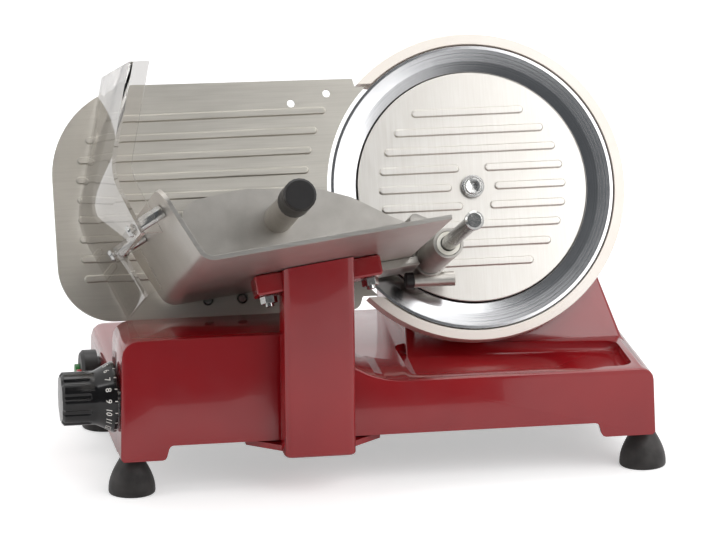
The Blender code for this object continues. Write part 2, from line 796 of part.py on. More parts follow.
def make_base_casting():
    casting = make_part("base_casting", front_wall_shape(), "red_enamel", FRAMES["base"])
    deck = make_cutter("deck_block", deck_shape(), FRAMES["base"])
    tower = tower_block("tower_block", 0, TOWER_BACK_Y, 0.060)
    soften(tower, TOWER_EDGE, 3, 50)
    join(casting, deck)
    cut(casting, make_cutter("basin", basin_shape(), FRAMES["base"]))
    join(casting, tower)
    cut(casting, make_cutter("housing_hollow", housing_hollow(), FRAMES["base"]))
    for name, shape in deck_hollows():
        cut(casting, make_cutter(name, shape, FRAMES["base"]))
    cut(casting, tower_block("tower_hollow", WALL, TOWER_BACK_Y - WALL, 0.050))
    boss = cylinder(
        BUSHING_RADIUS + 0.004,
        INDEX_BOSS_END - BASE_LEFT - 0.003,
        (BASE_LEFT + 0.003, INDEX_Y, INDEX_Z),
        "X",
        16,
    )
    pads = gathered(foot_pads(), boss, *rod_lugs()[0::2])
    join(casting, make_cutter("pads", pads, FRAMES["base"]))
    lugs = gathered(*rod_lugs()[1::2], *bottom_posts())
    join(casting, make_cutter("lugs", lugs, FRAMES["base"]))
    join(casting, make_cutter("slide_rod_lugs", gathered(*slide_rod_lugs()), FRAMES["blade"]))
    posts = [
        cylinder(
            POST_RADIUS,
            TOWER_FRONT - 0.002 - DRIVE_PLATE_FRONT - GAP,
            (x, y, DRIVE_PLATE_FRONT + GAP),
            segments=10,
        )
        for x, y in DRIVE_POSTS
    ]
    join(casting, make_cutter("drive_posts", gathered(*posts), FRAMES["blade"]))
    cut(casting, make_cutter("base_bores", base_bores(), FRAMES["base"]))
    cut(casting, make_cutter("tower_bores", tower_bores(), FRAMES["blade"]))
    slot_low = tilted(0, SUPPORT_BOTTOM, 0).z - 0.010
    gauge_slot = block(
        (SUPPORT_LEFT - 0.0015, HOUSING_BACK + 0.006, slot_low),
        (SUPPORT_LEFT + SUPPORT_WIDTH + 0.0015, -0.0055, RIM_Z + 0.005),
    )
    cut(casting, make_cutter("gauge_slot", gauge_slot, FRAMES["base"]))
    return casting


def base_bores():
    """Holes along the base's own axes: index shaft, carriage rod and bar, switch, gland, feet and screws."""
    near = BASE_LEFT - 0.005
    shapes = [
        cylinder(BUSHING_RADIUS + GAP, INDEX_BOSS_END + 0.002 - near, (near, INDEX_Y, INDEX_Z), "X", 16),
        cylinder(ROD_RADIUS + GAP, ROD_RIGHT - ROD_LEFT + 2 * GAP, (ROD_LEFT - GAP, ROD_Y, ROD_Z), "X", 16),
        cylinder(SWITCH_NECK + 0.0004, 0.012, (near, SWITCH_Y, SWITCH_Z), "X", 20),
        cylinder(GLAND_NECK + GAP, 0.014, (GLAND_X, BASE_BACK - 0.009, GLAND_Z), "Y", 16),
        block(
            (ROD_LEFT + 0.0015, BAR_FRONT - GAP, BAR_BOTTOM - GAP),
            (LEG_RIGHT_INNER + 0.0065, BAR_BACK + GAP, BAR_TOP + GAP),
        ),
    ]
    for x in FOOT_X:
        for y in FOOT_Y:
            shapes.append(cylinder(STUD_RADIUS + GAP, 0.016, (x, y, BASE_FOOT_Z - 0.005), segments=10))
    for x, y in BOTTOM_SCREWS:
        shapes.append(cylinder(0.0018, 0.012, (x, y, BOTTOM_PLATE_Z - 0.002), segments=8))
    return gathered(*shapes)


def tower_bores():
    """Holes along the blade's axis: hub opening, ring guard screws, drive plate screws and slide rod."""
    shapes = [cylinder(HUB_OPENING, 0.012, (0, 0, TOWER_FRONT - 0.008), segments=20)]
    for angle in RING_STUD_ANGLES:
        x, y = ring_stud(angle)
        shapes.append(cylinder(0.0020, 0.012, (x, y, TOWER_FRONT - 0.008), segments=8))
    for x, y in DRIVE_POSTS:
        shapes.append(cylinder(0.0018, 0.014, (x, y, DRIVE_PLATE_FRONT - 0.001), segments=8))
    middle = SUPPORT_LEFT + SUPPORT_WIDTH / 2
    shapes.append(
        cylinder(
            SLIDE_ROD_RADIUS + GAP,
            SLIDE_ROD_LENGTH + 2 * GAP,
            (middle, SLIDE_ROD_Y, SLIDE_ROD_FRONT - SLIDE_ROD_LENGTH - GAP),
            segments=16,
        )
    )
    return gathered(*shapes)


def make_feet():
    names = {(0, 0): "front_left", (1, 0): "front_right", (0, 1): "rear_left", (1, 1): "rear_right"}
    height = BASE_FOOT_Z - GAP
    bell = [
        (FOOT_TOP_RADIUS + (FOOT_RADIUS - FOOT_TOP_RADIUS) * sin(pi / 2 * t / 3), height * (1 - t / 3 * 0.90))
        for t in range(4)
    ]
    profile = [
        (0, height + 0.009),
        (STUD_RADIUS, height + 0.009),
        (STUD_RADIUS, height),
        *bell,
        (FOOT_RADIUS - 0.0015, 0),
        (0, 0),
    ]
    for i, x in enumerate(FOOT_X):
        for j, y in enumerate(FOOT_Y):
            make_turned(
                f"foot_{names[i, j]}", profile, "rubber", FRAMES["base"], (x, y, 0), steps=16, closed=False
            )


def make_bottom_plate():
    (x0, y0), (x1, y1) = BOTTOM_PLATE
    outline = rounded([(x0, y0, 0.006), (x1, y0, 0.006), (x1, y1, 0.006), (x0, y1, 0.006)], 3)
    vents = []
    for i in range(9):
        middle = MOTOR_AT[0] + (i - 4) * 0.009
        across = slot(0.028, 0.066, 0, 0.004, 2)
        vents.append([(middle - y, x) for x, y in across])
    holes = vents + [circle(x, y, 0.0022, 8) for x, y in BOTTOM_SCREWS]
    low = BOTTOM_PLATE_Z - BOTTOM_PLATE_THICKNESS
    plate = extruded(outline, low, BOTTOM_PLATE_Z, holes=holes)
    make_part("bottom_plate", plate, "bright_steel", FRAMES["base"])


def make_screw(name, at, head_radius, head_height, shank_radius, shank_length, parent, axis="Z"):
    """A pan head screw whose head's underside is at the point."""
    return make_turned(
        name,
        [
            (0, head_height),
            (head_radius * 0.72, head_height),
            (head_radius, head_height * 0.3),
            (head_radius, 0),
            (shank_radius, 0),
            (shank_radius, -shank_length),
            (0, -shank_length),
        ],
        "bright_steel",
        parent,
        at,
        axis,
        12,
        closed=False,
    )


# Blade group


def ring_stud(angle):
    middle = (RING_WEB_INNER + RING_OUTER) / 2 - 0.001
    return middle * cos(radians(angle)), middle * sin(radians(angle))


def make_ring_guard():
    """A channel round the blade, open where the gauge plate meets it."""
    back = RING_FRONT - RING_DEPTH
    section = [
        (RING_INNER, RING_FRONT),
        (RING_OUTER - 0.001, RING_FRONT),
        (RING_OUTER, RING_FRONT - 0.001),
        (RING_OUTER, back),
        (RING_WEB_INNER, back),
        (RING_WEB_INNER, back + RING_WALL),
        (RING_OUTER - RING_WALL, back + RING_WALL),
        (RING_OUTER - RING_WALL, RING_FRONT - 0.0022),
        (RING_INNER, RING_FRONT - 0.0022),
    ]
    steps = 32
    bm = bmesh.new()
    loops = []
    for i in range(steps + 1):
        turn = RING_START + (RING_END - RING_START) * i / steps
        loops.append([bm.verts.new((r * cos(turn), r * sin(turn), z)) for r, z in section])
    for near, far in zip(loops, loops[1:]):
        for j in range(len(section)):
            bm.faces.new((near[j - 1], near[j], far[j], far[j - 1]))
    bm.faces.new(loops[0])
    bm.faces.new(loops[-1])
    ring = make_part("ring_guard", outward(bm), "cream_enamel", FRAMES["blade"])
    open_side = block((-0.120, RING_LOW_END, back - 0.001), (-0.050, RING_HIGH_END, RING_FRONT + 0.001))
    cut(ring, make_cutter("ring_open_side", open_side, FRAMES["blade"]))
    studs = []
    holes = []
    stud_low = TOWER_FRONT + GAP
    for angle in RING_STUD_ANGLES:
        x, y = ring_stud(angle)
        studs.append(cylinder(RING_STUD_RADIUS, back + 0.002 - stud_low, (x, y, stud_low), segments=10))
        holes.append(cylinder(0.0017, 0.0055, (x, y, TOWER_FRONT - 0.001), segments=8))
    join(ring, make_cutter("ring_studs", gathered(*studs), FRAMES["blade"]))
    cut(ring, make_cutter("ring_stud_holes", gathered(*holes), FRAMES["blade"]))


def make_blade():
    profile = [
        (BLADE_RADIUS, -0.0002),
        (BLADE_RADIUS, -0.0005),
        (0.0920, -0.0034),
        (0.0805, -0.0068),
        (0.0715, -BLADE_BACK),
        (BLADE_BORE, -BLADE_BACK),
        (BLADE_BORE, -BLADE_DISH),
        (0.0700, -BLADE_DISH),
        (0.0780, -0.0042),
        (0.0800, -0.0026),
        (0.0870, -0.0012),
        (0.0955, -0.0002),
    ]
    blade = make_turned("blade", profile, "polished_steel", FRAMES["blade"], steps=44)
    holes = [
        cylinder(0.0024, 0.006, (0.020 * cos(t), 0.020 * sin(t), -BLADE_BACK - 0.001), segments=10)
        for t in blade_screw_angles()
    ]
    cut(blade, make_cutter("blade_holes", gathered(*holes), FRAMES["blade"]))


def blade_screw_angles():
    return [radians(90 + 120 * i) for i in range(3)]


def make_blade_hub():
    flange_front = -BLADE_BACK - GAP
    flange_back = flange_front - 0.0045
    pulley_front = TOWER_FRONT - WALL - 0.0045
    pulley_back = pulley_front - PULLEY_WIDTH
    seat = BEARING_WIDTH + 0.0015
    bore = BEARING_OUTER + GAP
    pitch = (PULLEY_WIDTH - 0.003) / GROOVE_COUNT
    grooves = []
    for i in range(GROOVE_COUNT):
        top = pulley_front - 0.0015 - i * pitch
        grooves += [(HUB_PULLEY, top), (HUB_PULLEY - GROOVE_DEPTH, top - pitch / 2)]
    profile = [
        (bore, flange_front),
        (HUB_FLANGE, flange_front),
        (HUB_FLANGE, flange_back),
        (HUB_NECK, flange_back - 0.001),
        (HUB_NECK, pulley_front),
        (HUB_PULLEY, pulley_front),
        *grooves,
        (HUB_PULLEY, pulley_back + 0.0015),
        (HUB_PULLEY, pulley_back),
        (bore, pulley_back),
        (bore, pulley_back + seat),
        (bore - 0.003, pulley_back + seat),
        (bore - 0.003, flange_front - seat),
        (bore, flange_front - seat),
    ]
    hub = make_turned("blade_hub", profile, "cast_aluminium", FRAMES["blade"])
    holes = [
        cylinder(0.0018, 0.012, (0.020 * cos(t), 0.020 * sin(t), flange_back - 0.006), segments=8)
        for t in blade_screw_angles()
    ]
    cut(hub, make_cutter("hub_holes", gathered(*holes), FRAMES["blade"]))
    front_seat = flange_front - seat + GAP
    rear_seat = pulley_back + seat - GAP - BEARING_WIDTH
    for name, low in (("hub_bearing_front", front_seat), ("hub_bearing_rear", rear_seat)):
        make_turned(
            name,
            ring_profile(AXLE_RADIUS + GAP, BEARING_OUTER, low, low + BEARING_WIDTH),
            "bright_steel",
            FRAMES["blade"],
        )


def hub_pulley_middle():
    return TOWER_FRONT - WALL - 0.0045 - PULLEY_WIDTH / 2


def make_blade_axle():
    """A fixed axle, bolted to the drive plate, that the hub turns on and the cover is screwed to."""
    front = -COVER_BACK_REACH - GAP
    back = DRIVE_PLATE_FRONT - DRIVE_PLATE_THICKNESS
    profile = [
        (AXLE_RADIUS, front),
        (AXLE_RADIUS, back - GAP),
        (0.012, back - GAP),
        (0.012, back - 0.005),
        (0.0022, back - 0.005),
        (0.0022, front),
    ]
    make_turned("blade_axle", profile, "bright_steel", FRAMES["blade"], steps=16)


def make_blade_cover():
    profile = [
        (COVER_RADIUS - 0.0008, 0),
        (COVER_RADIUS, -0.0008),
        (COVER_RADIUS, -COVER_THICKNESS + 0.0004),
        (COVER_RADIUS - 0.0008, -COVER_THICKNESS),
        (COVER_BOSS_RADIUS, -COVER_THICKNESS),
        (COVER_BOSS_RADIUS, -COVER_BACK_REACH),
        (0.0025, -COVER_BACK_REACH),
        (0.0025, 0),
    ]
    cover = make_turned("blade_cover", profile, "satin_aluminium", FRAMES["blade"], steps=40)
    ribs = []
    half = (COVER_RIB_COUNT - 1) // 2
    for row in range(-half, half + 1):
        y = row * COVER_RIB_PITCH
        reach = sqrt(COVER_RIB_REACH**2 - y**2)
        spans = [(-reach, reach)]
        if row in COVER_MIDDLE_GAPS:
            left, right = COVER_MIDDLE_GAPS[row]
            spans = [(-reach, left), (right, reach)]
        for x0, x1 in spans:
            ribs.append(raised_rib(x0, x1, y, COVER_RIB_WIDTH))
    join(cover, make_cutter("cover_ribs", gathered(*ribs), FRAMES["blade"]))
    screw = make_turned(
        "cover_screw",
        [
            (0, 0.0034),
            (SCREW_HEAD_RADIUS - 0.001, 0.0034),
            (SCREW_HEAD_RADIUS, 0.0026),
            (SCREW_HEAD_RADIUS, GAP),
            (0.0019, GAP),
            (0.0019, -0.024),
            (0, -0.024),
        ],
        "bright_steel",
        FRAMES["blade"],
        closed=False,
    )
    socket = cylinder(SCREW_SOCKET_RADIUS, 0.004, (0, 0, 0.0008), segments=6)
    cut(screw, make_cutter("cover_screw_socket", socket, FRAMES["blade"]))


def raised_rib(x0, x1, y, width):
    """A pressed rib that stands out of a plate's front face, with sloped sides."""
    bm = extruded(slot(x0, x1, y, width, 2), -0.0008, RIB_HEIGHT)
    middle_x, reach = (x0 + x1) / 2, (x1 - x0) / 2
    narrow = width * 0.22
    for vert in bm.verts:
        if vert.co.z > 0:
            vert.co.y = y + (vert.co.y - y) * (1 - 2 * narrow / width)
            vert.co.x = middle_x + (vert.co.x - middle_x) * (1 - narrow / reach)
    return bm


def make_slice_deflector():
    """A curved sheet on the tower's left wall that peels the slice off the blade."""
    sheet = 0.0012
    wall = TOWER_MIDDLE[0] - TOWER_RADIUS
    path = [(-0.0885, -0.0095), (-0.0800, -0.0200), (-0.0680, -0.0290), (-0.0560, -0.0345)]
    path += [(wall - GAP - sheet, -0.0420), (wall - GAP - sheet, -0.0640)]
    other = []
    for i, (x, z) in enumerate(path):
        before = Vector(path[max(i - 1, 0)])
        after = Vector(path[min(i + 1, len(path) - 1)])
        along = (after - before).normalized()
        other.append((x - along.y * sheet, z + along.x * sheet))
    other[-1] = (wall - GAP, path[-1][1])
    other[-2] = (wall - GAP, path[-2][1] + 0.0005)
    outline = path + other[::-1]
    bm = extruded(outline, -0.038, 0.020, "Y")
    make_part("slice_deflector", bm, "bright_steel", FRAMES["blade"])


def make_drive():
    low = DRIVE_PLATE_FRONT - DRIVE_PLATE_THICKNESS
    holes = [circle(x, y, 0.0021, 8) for x, y in DRIVE_POSTS]
    holes.append(circle(0, 0, AXLE_RADIUS + GAP))
    holes.append(circle(*MOTOR_AT, 0.0075, 12))
    plate = extruded(wrapped(DRIVE_POSTS, 0.0065), low, DRIVE_PLATE_FRONT, holes=holes)
    make_part("drive_plate", plate, "bright_steel", FRAMES["blade"])
    body_front = low - GAP
    make_turned(
        "motor",
        [
            (0.0062, body_front),
            (MOTOR_RADIUS - 0.006, body_front),
            (MOTOR_RADIUS, body_front - 0.008),
            (MOTOR_RADIUS, body_front - MOTOR_LENGTH + 0.010),
            (MOTOR_RADIUS - 0.010, body_front - MOTOR_LENGTH),
            (0.0062, body_front - MOTOR_LENGTH),
        ],
        "cast_aluminium",
        FRAMES["motor"],
    )
    middle = hub_pulley_middle()
    front = middle + PULLEY_WIDTH / 2
    shaft_back = body_front - MOTOR_LENGTH - 0.003
    make_part(
        "motor_shaft",
        cylinder(MOTOR_SHAFT_RADIUS, front - shaft_back, (0, 0, shaft_back), segments=14),
        "bright_steel",
        FRAMES["motor"],
    )
    make_turned(
        "motor_pulley",
        ring_profile(MOTOR_SHAFT_RADIUS + GAP, MOTOR_PULLEY, front - PULLEY_WIDTH, front),
        "cast_aluminium",
        FRAMES["motor"],
        steps=16,
    )
    make_belt(middle)


def wrapped(points, radius):
    """The outline of a band pulled tight round circles on these points."""
    middle = sum((Vector(p) for p in points), Vector((0, 0))) / len(points)
    ordered = sorted(points, key=lambda p: atan2(p[1] - middle.y, p[0] - middle.x))
    outline = []
    for i, here in enumerate(ordered):
        before, after = ordered[i - 1], ordered[(i + 1) % len(ordered)]
        start = atan2(before[0] - here[0], here[1] - before[1])
        sweep = (atan2(here[0] - after[0], after[1] - here[1]) - start) % (2 * pi)
        outline += arc(here, radius, start, start + sweep, 3)
    return outline


def belt_outline(offset):
    """The outline of an open belt round the two pulleys, this far outside them."""
    span = hypot(*MOTOR_AT)
    facing = atan2(MOTOR_AT[1], MOTOR_AT[0])
    lean = acos((HUB_PULLEY - MOTOR_PULLEY) / span)
    big = arc((0, 0), HUB_PULLEY + offset, facing + lean, facing + 2 * pi - lean, 18)
    small = arc(MOTOR_AT, MOTOR_PULLEY + offset, facing - lean, facing + lean, 6)
    return big + small


def make_belt(middle):
    half = (PULLEY_WIDTH - 0.003) / 2
    bm = extruded(
        belt_outline(0.0006 + BELT_THICKNESS), middle - half, middle + half, holes=[belt_outline(0.0006)]
    )
    make_part("drive_belt", bm, "rubber", FRAMES["blade"])


# Gauge plate and its indexing


def gauge_outline():
    upper = radians(180 - 46.3)
    lower = radians(180 + 45.4)
    notch = arc((0, 0), GAUGE_ARC, lower, upper, 20)
    lift = 0.0018
    left_top = GAUGE_TOP + lift
    return rounded(
        [
            (GAUGE_LEFT, GAUGE_BOTTOM, GAUGE_BOTTOM_CORNER),
            (-0.0835, GAUGE_BOTTOM, 0.006),
            (-0.0806, -0.0712, 0.002),
            *[(x, y, 0) for x, y in notch],
            (-0.0765, 0.0728, 0),
            (-0.0779, GAUGE_TOP - 0.0012, 0.001),
            (GAUGE_LEFT, left_top, GAUGE_TOP_CORNER),
        ],
        7,
    )


def make_gauge_plate():
    holes = [circle(x, y, GAUGE_HOLE_RADIUS, 10) for x, y in GAUGE_HOLES]
    holes += [circle(x, y, GAUGE_SCREW_HOLE, 12) for x, y in GAUGE_SCREWS]
    bm = extruded(gauge_outline(), -GAUGE_THICKNESS, 0, holes=holes)
    plate = make_part("gauge_plate", bm, "satin_aluminium", FRAMES["gauge"])
    ribs = []
    for i in range(GAUGE_RIB_COUNT):
        y = GAUGE_RIB_TOP - i * GAUGE_RIB_PITCH
        ribs.append(raised_rib(gauge_rib_left(y), -sqrt(GAUGE_RIB_ARC**2 - y**2), y, GAUGE_RIB_WIDTH))
    join(plate, make_cutter("gauge_ribs", gathered(*ribs), FRAMES["gauge"]))


def gauge_rib_left(y):
    """The left end of a rib, a set distance inside the plate's rounded left edge."""
    edge = GAUGE_LEFT + GAUGE_RIB_INSET
    for corner_y, corner_radius in (
        (GAUGE_TOP - GAUGE_TOP_CORNER, GAUGE_TOP_CORNER),
        (GAUGE_BOTTOM + GAUGE_BOTTOM_CORNER, GAUGE_BOTTOM_CORNER),
    ):
        inside = corner_radius - GAUGE_RIB_INSET
        beyond = (y - corner_y) if corner_y > 0 else (corner_y - y)
        if beyond > 0:
            edge += inside - sqrt(max(inside**2 - beyond**2, 0))
    return edge


def make_gauge_slide():
    right = SUPPORT_LEFT + SUPPORT_WIDTH
    middle = SUPPORT_LEFT + SUPPORT_WIDTH / 2
    front = -GAUGE_THICKNESS - GAP
    profile = rounded(
        [
            (SUPPORT_BOTTOM, front, 0.0),
            (SUPPORT_BOTTOM, front - SUPPORT_DEPTH, 0.0),
            (SUPPORT_TOP - 0.012, front - SUPPORT_DEPTH, 0.008),
            (SUPPORT_TOP, front - 0.008, 0.003),
            (SUPPORT_TOP, front, 0.0),
        ]
    )
    support = make_part(
        "gauge_support", extruded(profile, SUPPORT_LEFT, right, "X"), "cast_aluminium", FRAMES["gauge"]
    )
    holes = [cylinder(0.0017, 0.012, (x, y, front - 0.010), segments=8) for x, y in GAUGE_SCREWS]
    cut(support, make_cutter("support_holes", gathered(*holes), FRAMES["gauge"]))
    for number, (x, y) in enumerate(GAUGE_SCREWS, 1):
        seat = (x, y, front + GAP)
        make_screw(f"gauge_plate_screw_{number}", seat, 0.0034, 0.0018, 0.0014, 0.0085, FRAMES["gauge"])
    top = SUPPORT_BOTTOM - GAP
    low = SLIDE_ROD_Y - SLIDER_HALF
    back = SLIDER_FRONT - SLIDER_LENGTH
    slider = make_part(
        "gauge_slider",
        block((middle - 0.014, low, back), (middle + 0.014, top, SLIDER_FRONT)),
        "cast_aluminium",
        FRAMES["gauge"],
    )
    pin_y, pin_z = follower_place()
    arm_low, arm_high = pin_y - 0.004, pin_y + 0.004
    arm_left, arm_right = CAM_RIGHT_X + 0.0120, CAM_RIGHT_X + 0.0195
    cross = block((arm_left, arm_low, back + 0.016), (middle - 0.013, arm_high, SLIDER_FRONT - 0.002))
    reach = block((arm_left, arm_low, back + 0.017), (arm_right, arm_high - 0.0002, pin_z + 0.0048))
    join(slider, make_cutter("slider_cross", cross, FRAMES["gauge"]))
    join(slider, make_cutter("slider_reach", reach, FRAMES["gauge"]))
    bore = cylinder(
        SLIDE_ROD_RADIUS + RUNNING, SLIDER_LENGTH + 0.004, (middle, SLIDE_ROD_Y, back - 0.002), segments=16
    )
    pin_bore = cylinder(FOLLOWER_RADIUS + GAP, 0.010, (arm_left - 0.001, pin_y, pin_z), "X", 12)
    cut(slider, make_cutter("slider_bores", gathered(bore, pin_bore), FRAMES["gauge"]))
    make_part(
        "gauge_slide_rod",
        cylinder(
            SLIDE_ROD_RADIUS,
            SLIDE_ROD_LENGTH,
            (middle, SLIDE_ROD_Y, SLIDE_ROD_FRONT - SLIDE_ROD_LENGTH),
            segments=16,
        ),
        "bright_steel",
        FRAMES["blade"],
    )
    pin_left = CAM_RIGHT_X - GROOVE_FLOOR + GAP
    make_part(
        "cam_follower_pin",
        cylinder(FOLLOWER_RADIUS, arm_right - pin_left - 0.001, (pin_left, pin_y, pin_z), "X", 12),
        "bright_steel",
        FRAMES["gauge"],
    )


def index_place():
    """The index axis in the tilted frame."""
    drop = INDEX_Z - BLADE_HEIGHT
    return (
        INDEX_Y * sin(TILT) + drop * cos(TILT),
        -INDEX_Y * cos(TILT) + drop * sin(TILT),
    )


def follower_place():
    """The follower pin at rest: behind the index axis by the groove's first radius."""
    y, z = index_place()
    return y, z - CAM_START


def spiral_groove():
    """The groove's outline in the cam's (y, z) plane: a spiral that opens out by the gauge's travel."""
    steps = 32
    half = FOLLOWER_RADIUS + GAP
    rest = atan2(-sin(TILT), cos(TILT))
    inner, outer = [], []
    for i in range(-3, steps + 2):
        turn = INDEX_TURN * i / steps
        radius = CAM_START + GAUGE_TRAVEL * max(i, 0) / steps
        angle = rest - turn
        inner.append(((radius - half) * cos(angle), (radius - half) * sin(angle)))
        outer.append(((radius + half) * cos(angle), (radius + half) * sin(angle)))
    return outer + inner[::-1]


def make_index():
    cam_left = CAM_RIGHT_X - CAM_THICKNESS
    frame = FRAMES["index"]
    cam = make_turned(
        "index_cam",
        ring_profile(INDEX_SHAFT_RADIUS + GAP, CAM_RADIUS, 0, CAM_THICKNESS),
        "bronze",
        frame,
        (cam_left, 0, 0),
        "X",
        28,
    )
    groove = extruded(spiral_groove(), CAM_RIGHT_X - GROOVE_FLOOR, CAM_RIGHT_X + 0.002, "X")
    cut(cam, make_cutter("cam_groove", groove, frame))
    knob_right = BASE_LEFT - 0.0006
    knob_left = knob_right - KNOB_LENGTH
    shaft_left = knob_left + 0.010
    make_part(
        "index_shaft",
        cylinder(INDEX_SHAFT_RADIUS, CAM_RIGHT_X - 0.005 - shaft_left, (shaft_left, 0, 0), "X", 16),
        "bright_steel",
        frame,
    )
    make_turned(
        "index_bushing",
        [
            (BUSHING_RADIUS, INDEX_BOSS_END),
            (BUSHING_RADIUS, BASE_LEFT + 0.003),
            (INDEX_SHAFT_RADIUS + RUNNING, BASE_LEFT + 0.003),
            (INDEX_SHAFT_RADIUS + RUNNING, INDEX_BOSS_END),
        ],
        "bronze",
        frame,
        axis="X",
        steps=16,
    )
    bore_depth = KNOB_LENGTH - 0.0095
    dome = [
        (KNOB_GRIP_RADIUS - 0.0020, knob_left + 0.0003),
        (0, knob_left),
    ]
    profile = [
        (0, knob_right - bore_depth),
        (INDEX_SHAFT_RADIUS + GAP, knob_right - bore_depth),
        (INDEX_SHAFT_RADIUS + GAP, knob_right),
        (KNOB_SKIRT_RADIUS, knob_right),
        (KNOB_SKIRT_RADIUS, knob_right - 0.002),
        (KNOB_GRIP_RADIUS + 0.0005, knob_right - KNOB_SKIRT_LENGTH),
        (KNOB_GRIP_RADIUS, knob_right - KNOB_SKIRT_LENGTH - 0.0015),
        (KNOB_GRIP_RADIUS, knob_left + 0.002),
        *dome,
    ]
    knob = make_turned("index_knob", profile, "black_gloss", frame, axis="X", steps=36, closed=False)
    flutes = []
    for i in range(KNOB_FLUTES):
        angle = 2 * pi * (i + 0.5) / KNOB_FLUTES
        at = (KNOB_GRIP_RADIUS + 0.0022) * cos(angle), (KNOB_GRIP_RADIUS + 0.0022) * sin(angle)
        length = KNOB_LENGTH - KNOB_SKIRT_LENGTH - 0.002
        flutes.append(cylinder(0.0034, length, (knob_left - 0.002, *at), "X", 10))
    cut(knob, make_cutter("knob_flutes", gathered(*flutes), frame))


# Switch and gland


def make_switch():
    face = BASE_LEFT - SWITCH_DEPTH
    seat = BASE_LEFT - GAP
    frame = FRAMES["base"]
    centre = (0, SWITCH_Y, SWITCH_Z)
    body = make_turned(
        "switch_body",
        [
            (0, face + 0.018),
            (SWITCH_NECK, face + 0.018),
            (SWITCH_NECK, seat),
            (SWITCH_RADIUS, seat),
            (SWITCH_RADIUS, face + 0.002),
            (SWITCH_RADIUS - 0.002, face),
            (0, face),
        ],
        "black_plastic",
        frame,
        centre,
        "X",
        24,
        closed=False,
    )
    depth = 0.009
    wells = []
    for name, side, material in (("start_button", 1, "green_plastic"), ("stop_button", -1, "red_plastic")):
        y = SWITCH_Y + side * BUTTON_SPACING / 2
        wells.append(cylinder(BUTTON_RADIUS + GAP, depth + 0.004, (face - 0.004, y, SWITCH_Z), "X", 16))
        length = depth - 0.0030 + BUTTON_PROUD
        button = cylinder(BUTTON_RADIUS, length, (face - BUTTON_PROUD, y, SWITCH_Z), "X", 16)
        make_part(name, button, material, frame)
    cut(body, make_cutter("button_wells", gathered(*wells), frame))


def make_gland():
    outer = BASE_BACK + 0.0095
    seat = BASE_BACK + GAP
    make_turned(
        "cord_gland",
        [
            (GLAND_NECK, BASE_BACK - 0.009),
            (GLAND_BORE, BASE_BACK - 0.009),
            (GLAND_BORE, outer),
            (GLAND_NECK, outer),
            (GLAND_RADIUS, outer - 0.006),
            (GLAND_RADIUS, seat),
            (GLAND_NECK, seat),
        ],
        "black_plastic",
        FRAMES["base"],
        (GLAND_X, 0, GLAND_Z),
        "Y",
        16,
    )


# Carriage


def make_carriage_rods():
    frame = FRAMES["base"]
    make_part(
        "carriage_rod",
        cylinder(ROD_RADIUS, ROD_RIGHT - ROD_LEFT, (ROD_LEFT, ROD_Y, ROD_Z), "X", 16),
        "bright_steel",
        frame,
    )
    bar = block(
        (ROD_LEFT + 0.0015 + GAP, BAR_FRONT, BAR_BOTTOM), (LEG_RIGHT_INNER + 0.0065 - GAP, BAR_BACK, BAR_TOP)
    )
    make_part("carriage_guide_bar", bar, "bright_steel", frame)


def tray_underside(x):
    """The height of the tray's underside in the tilted frame at this x."""
    return TRAY_RIGHT_Y - (TRAY_RIGHT - x) * tan(TRAY_SLOPE) - TRAY_SHEET / cos(TRAY_SLOPE)


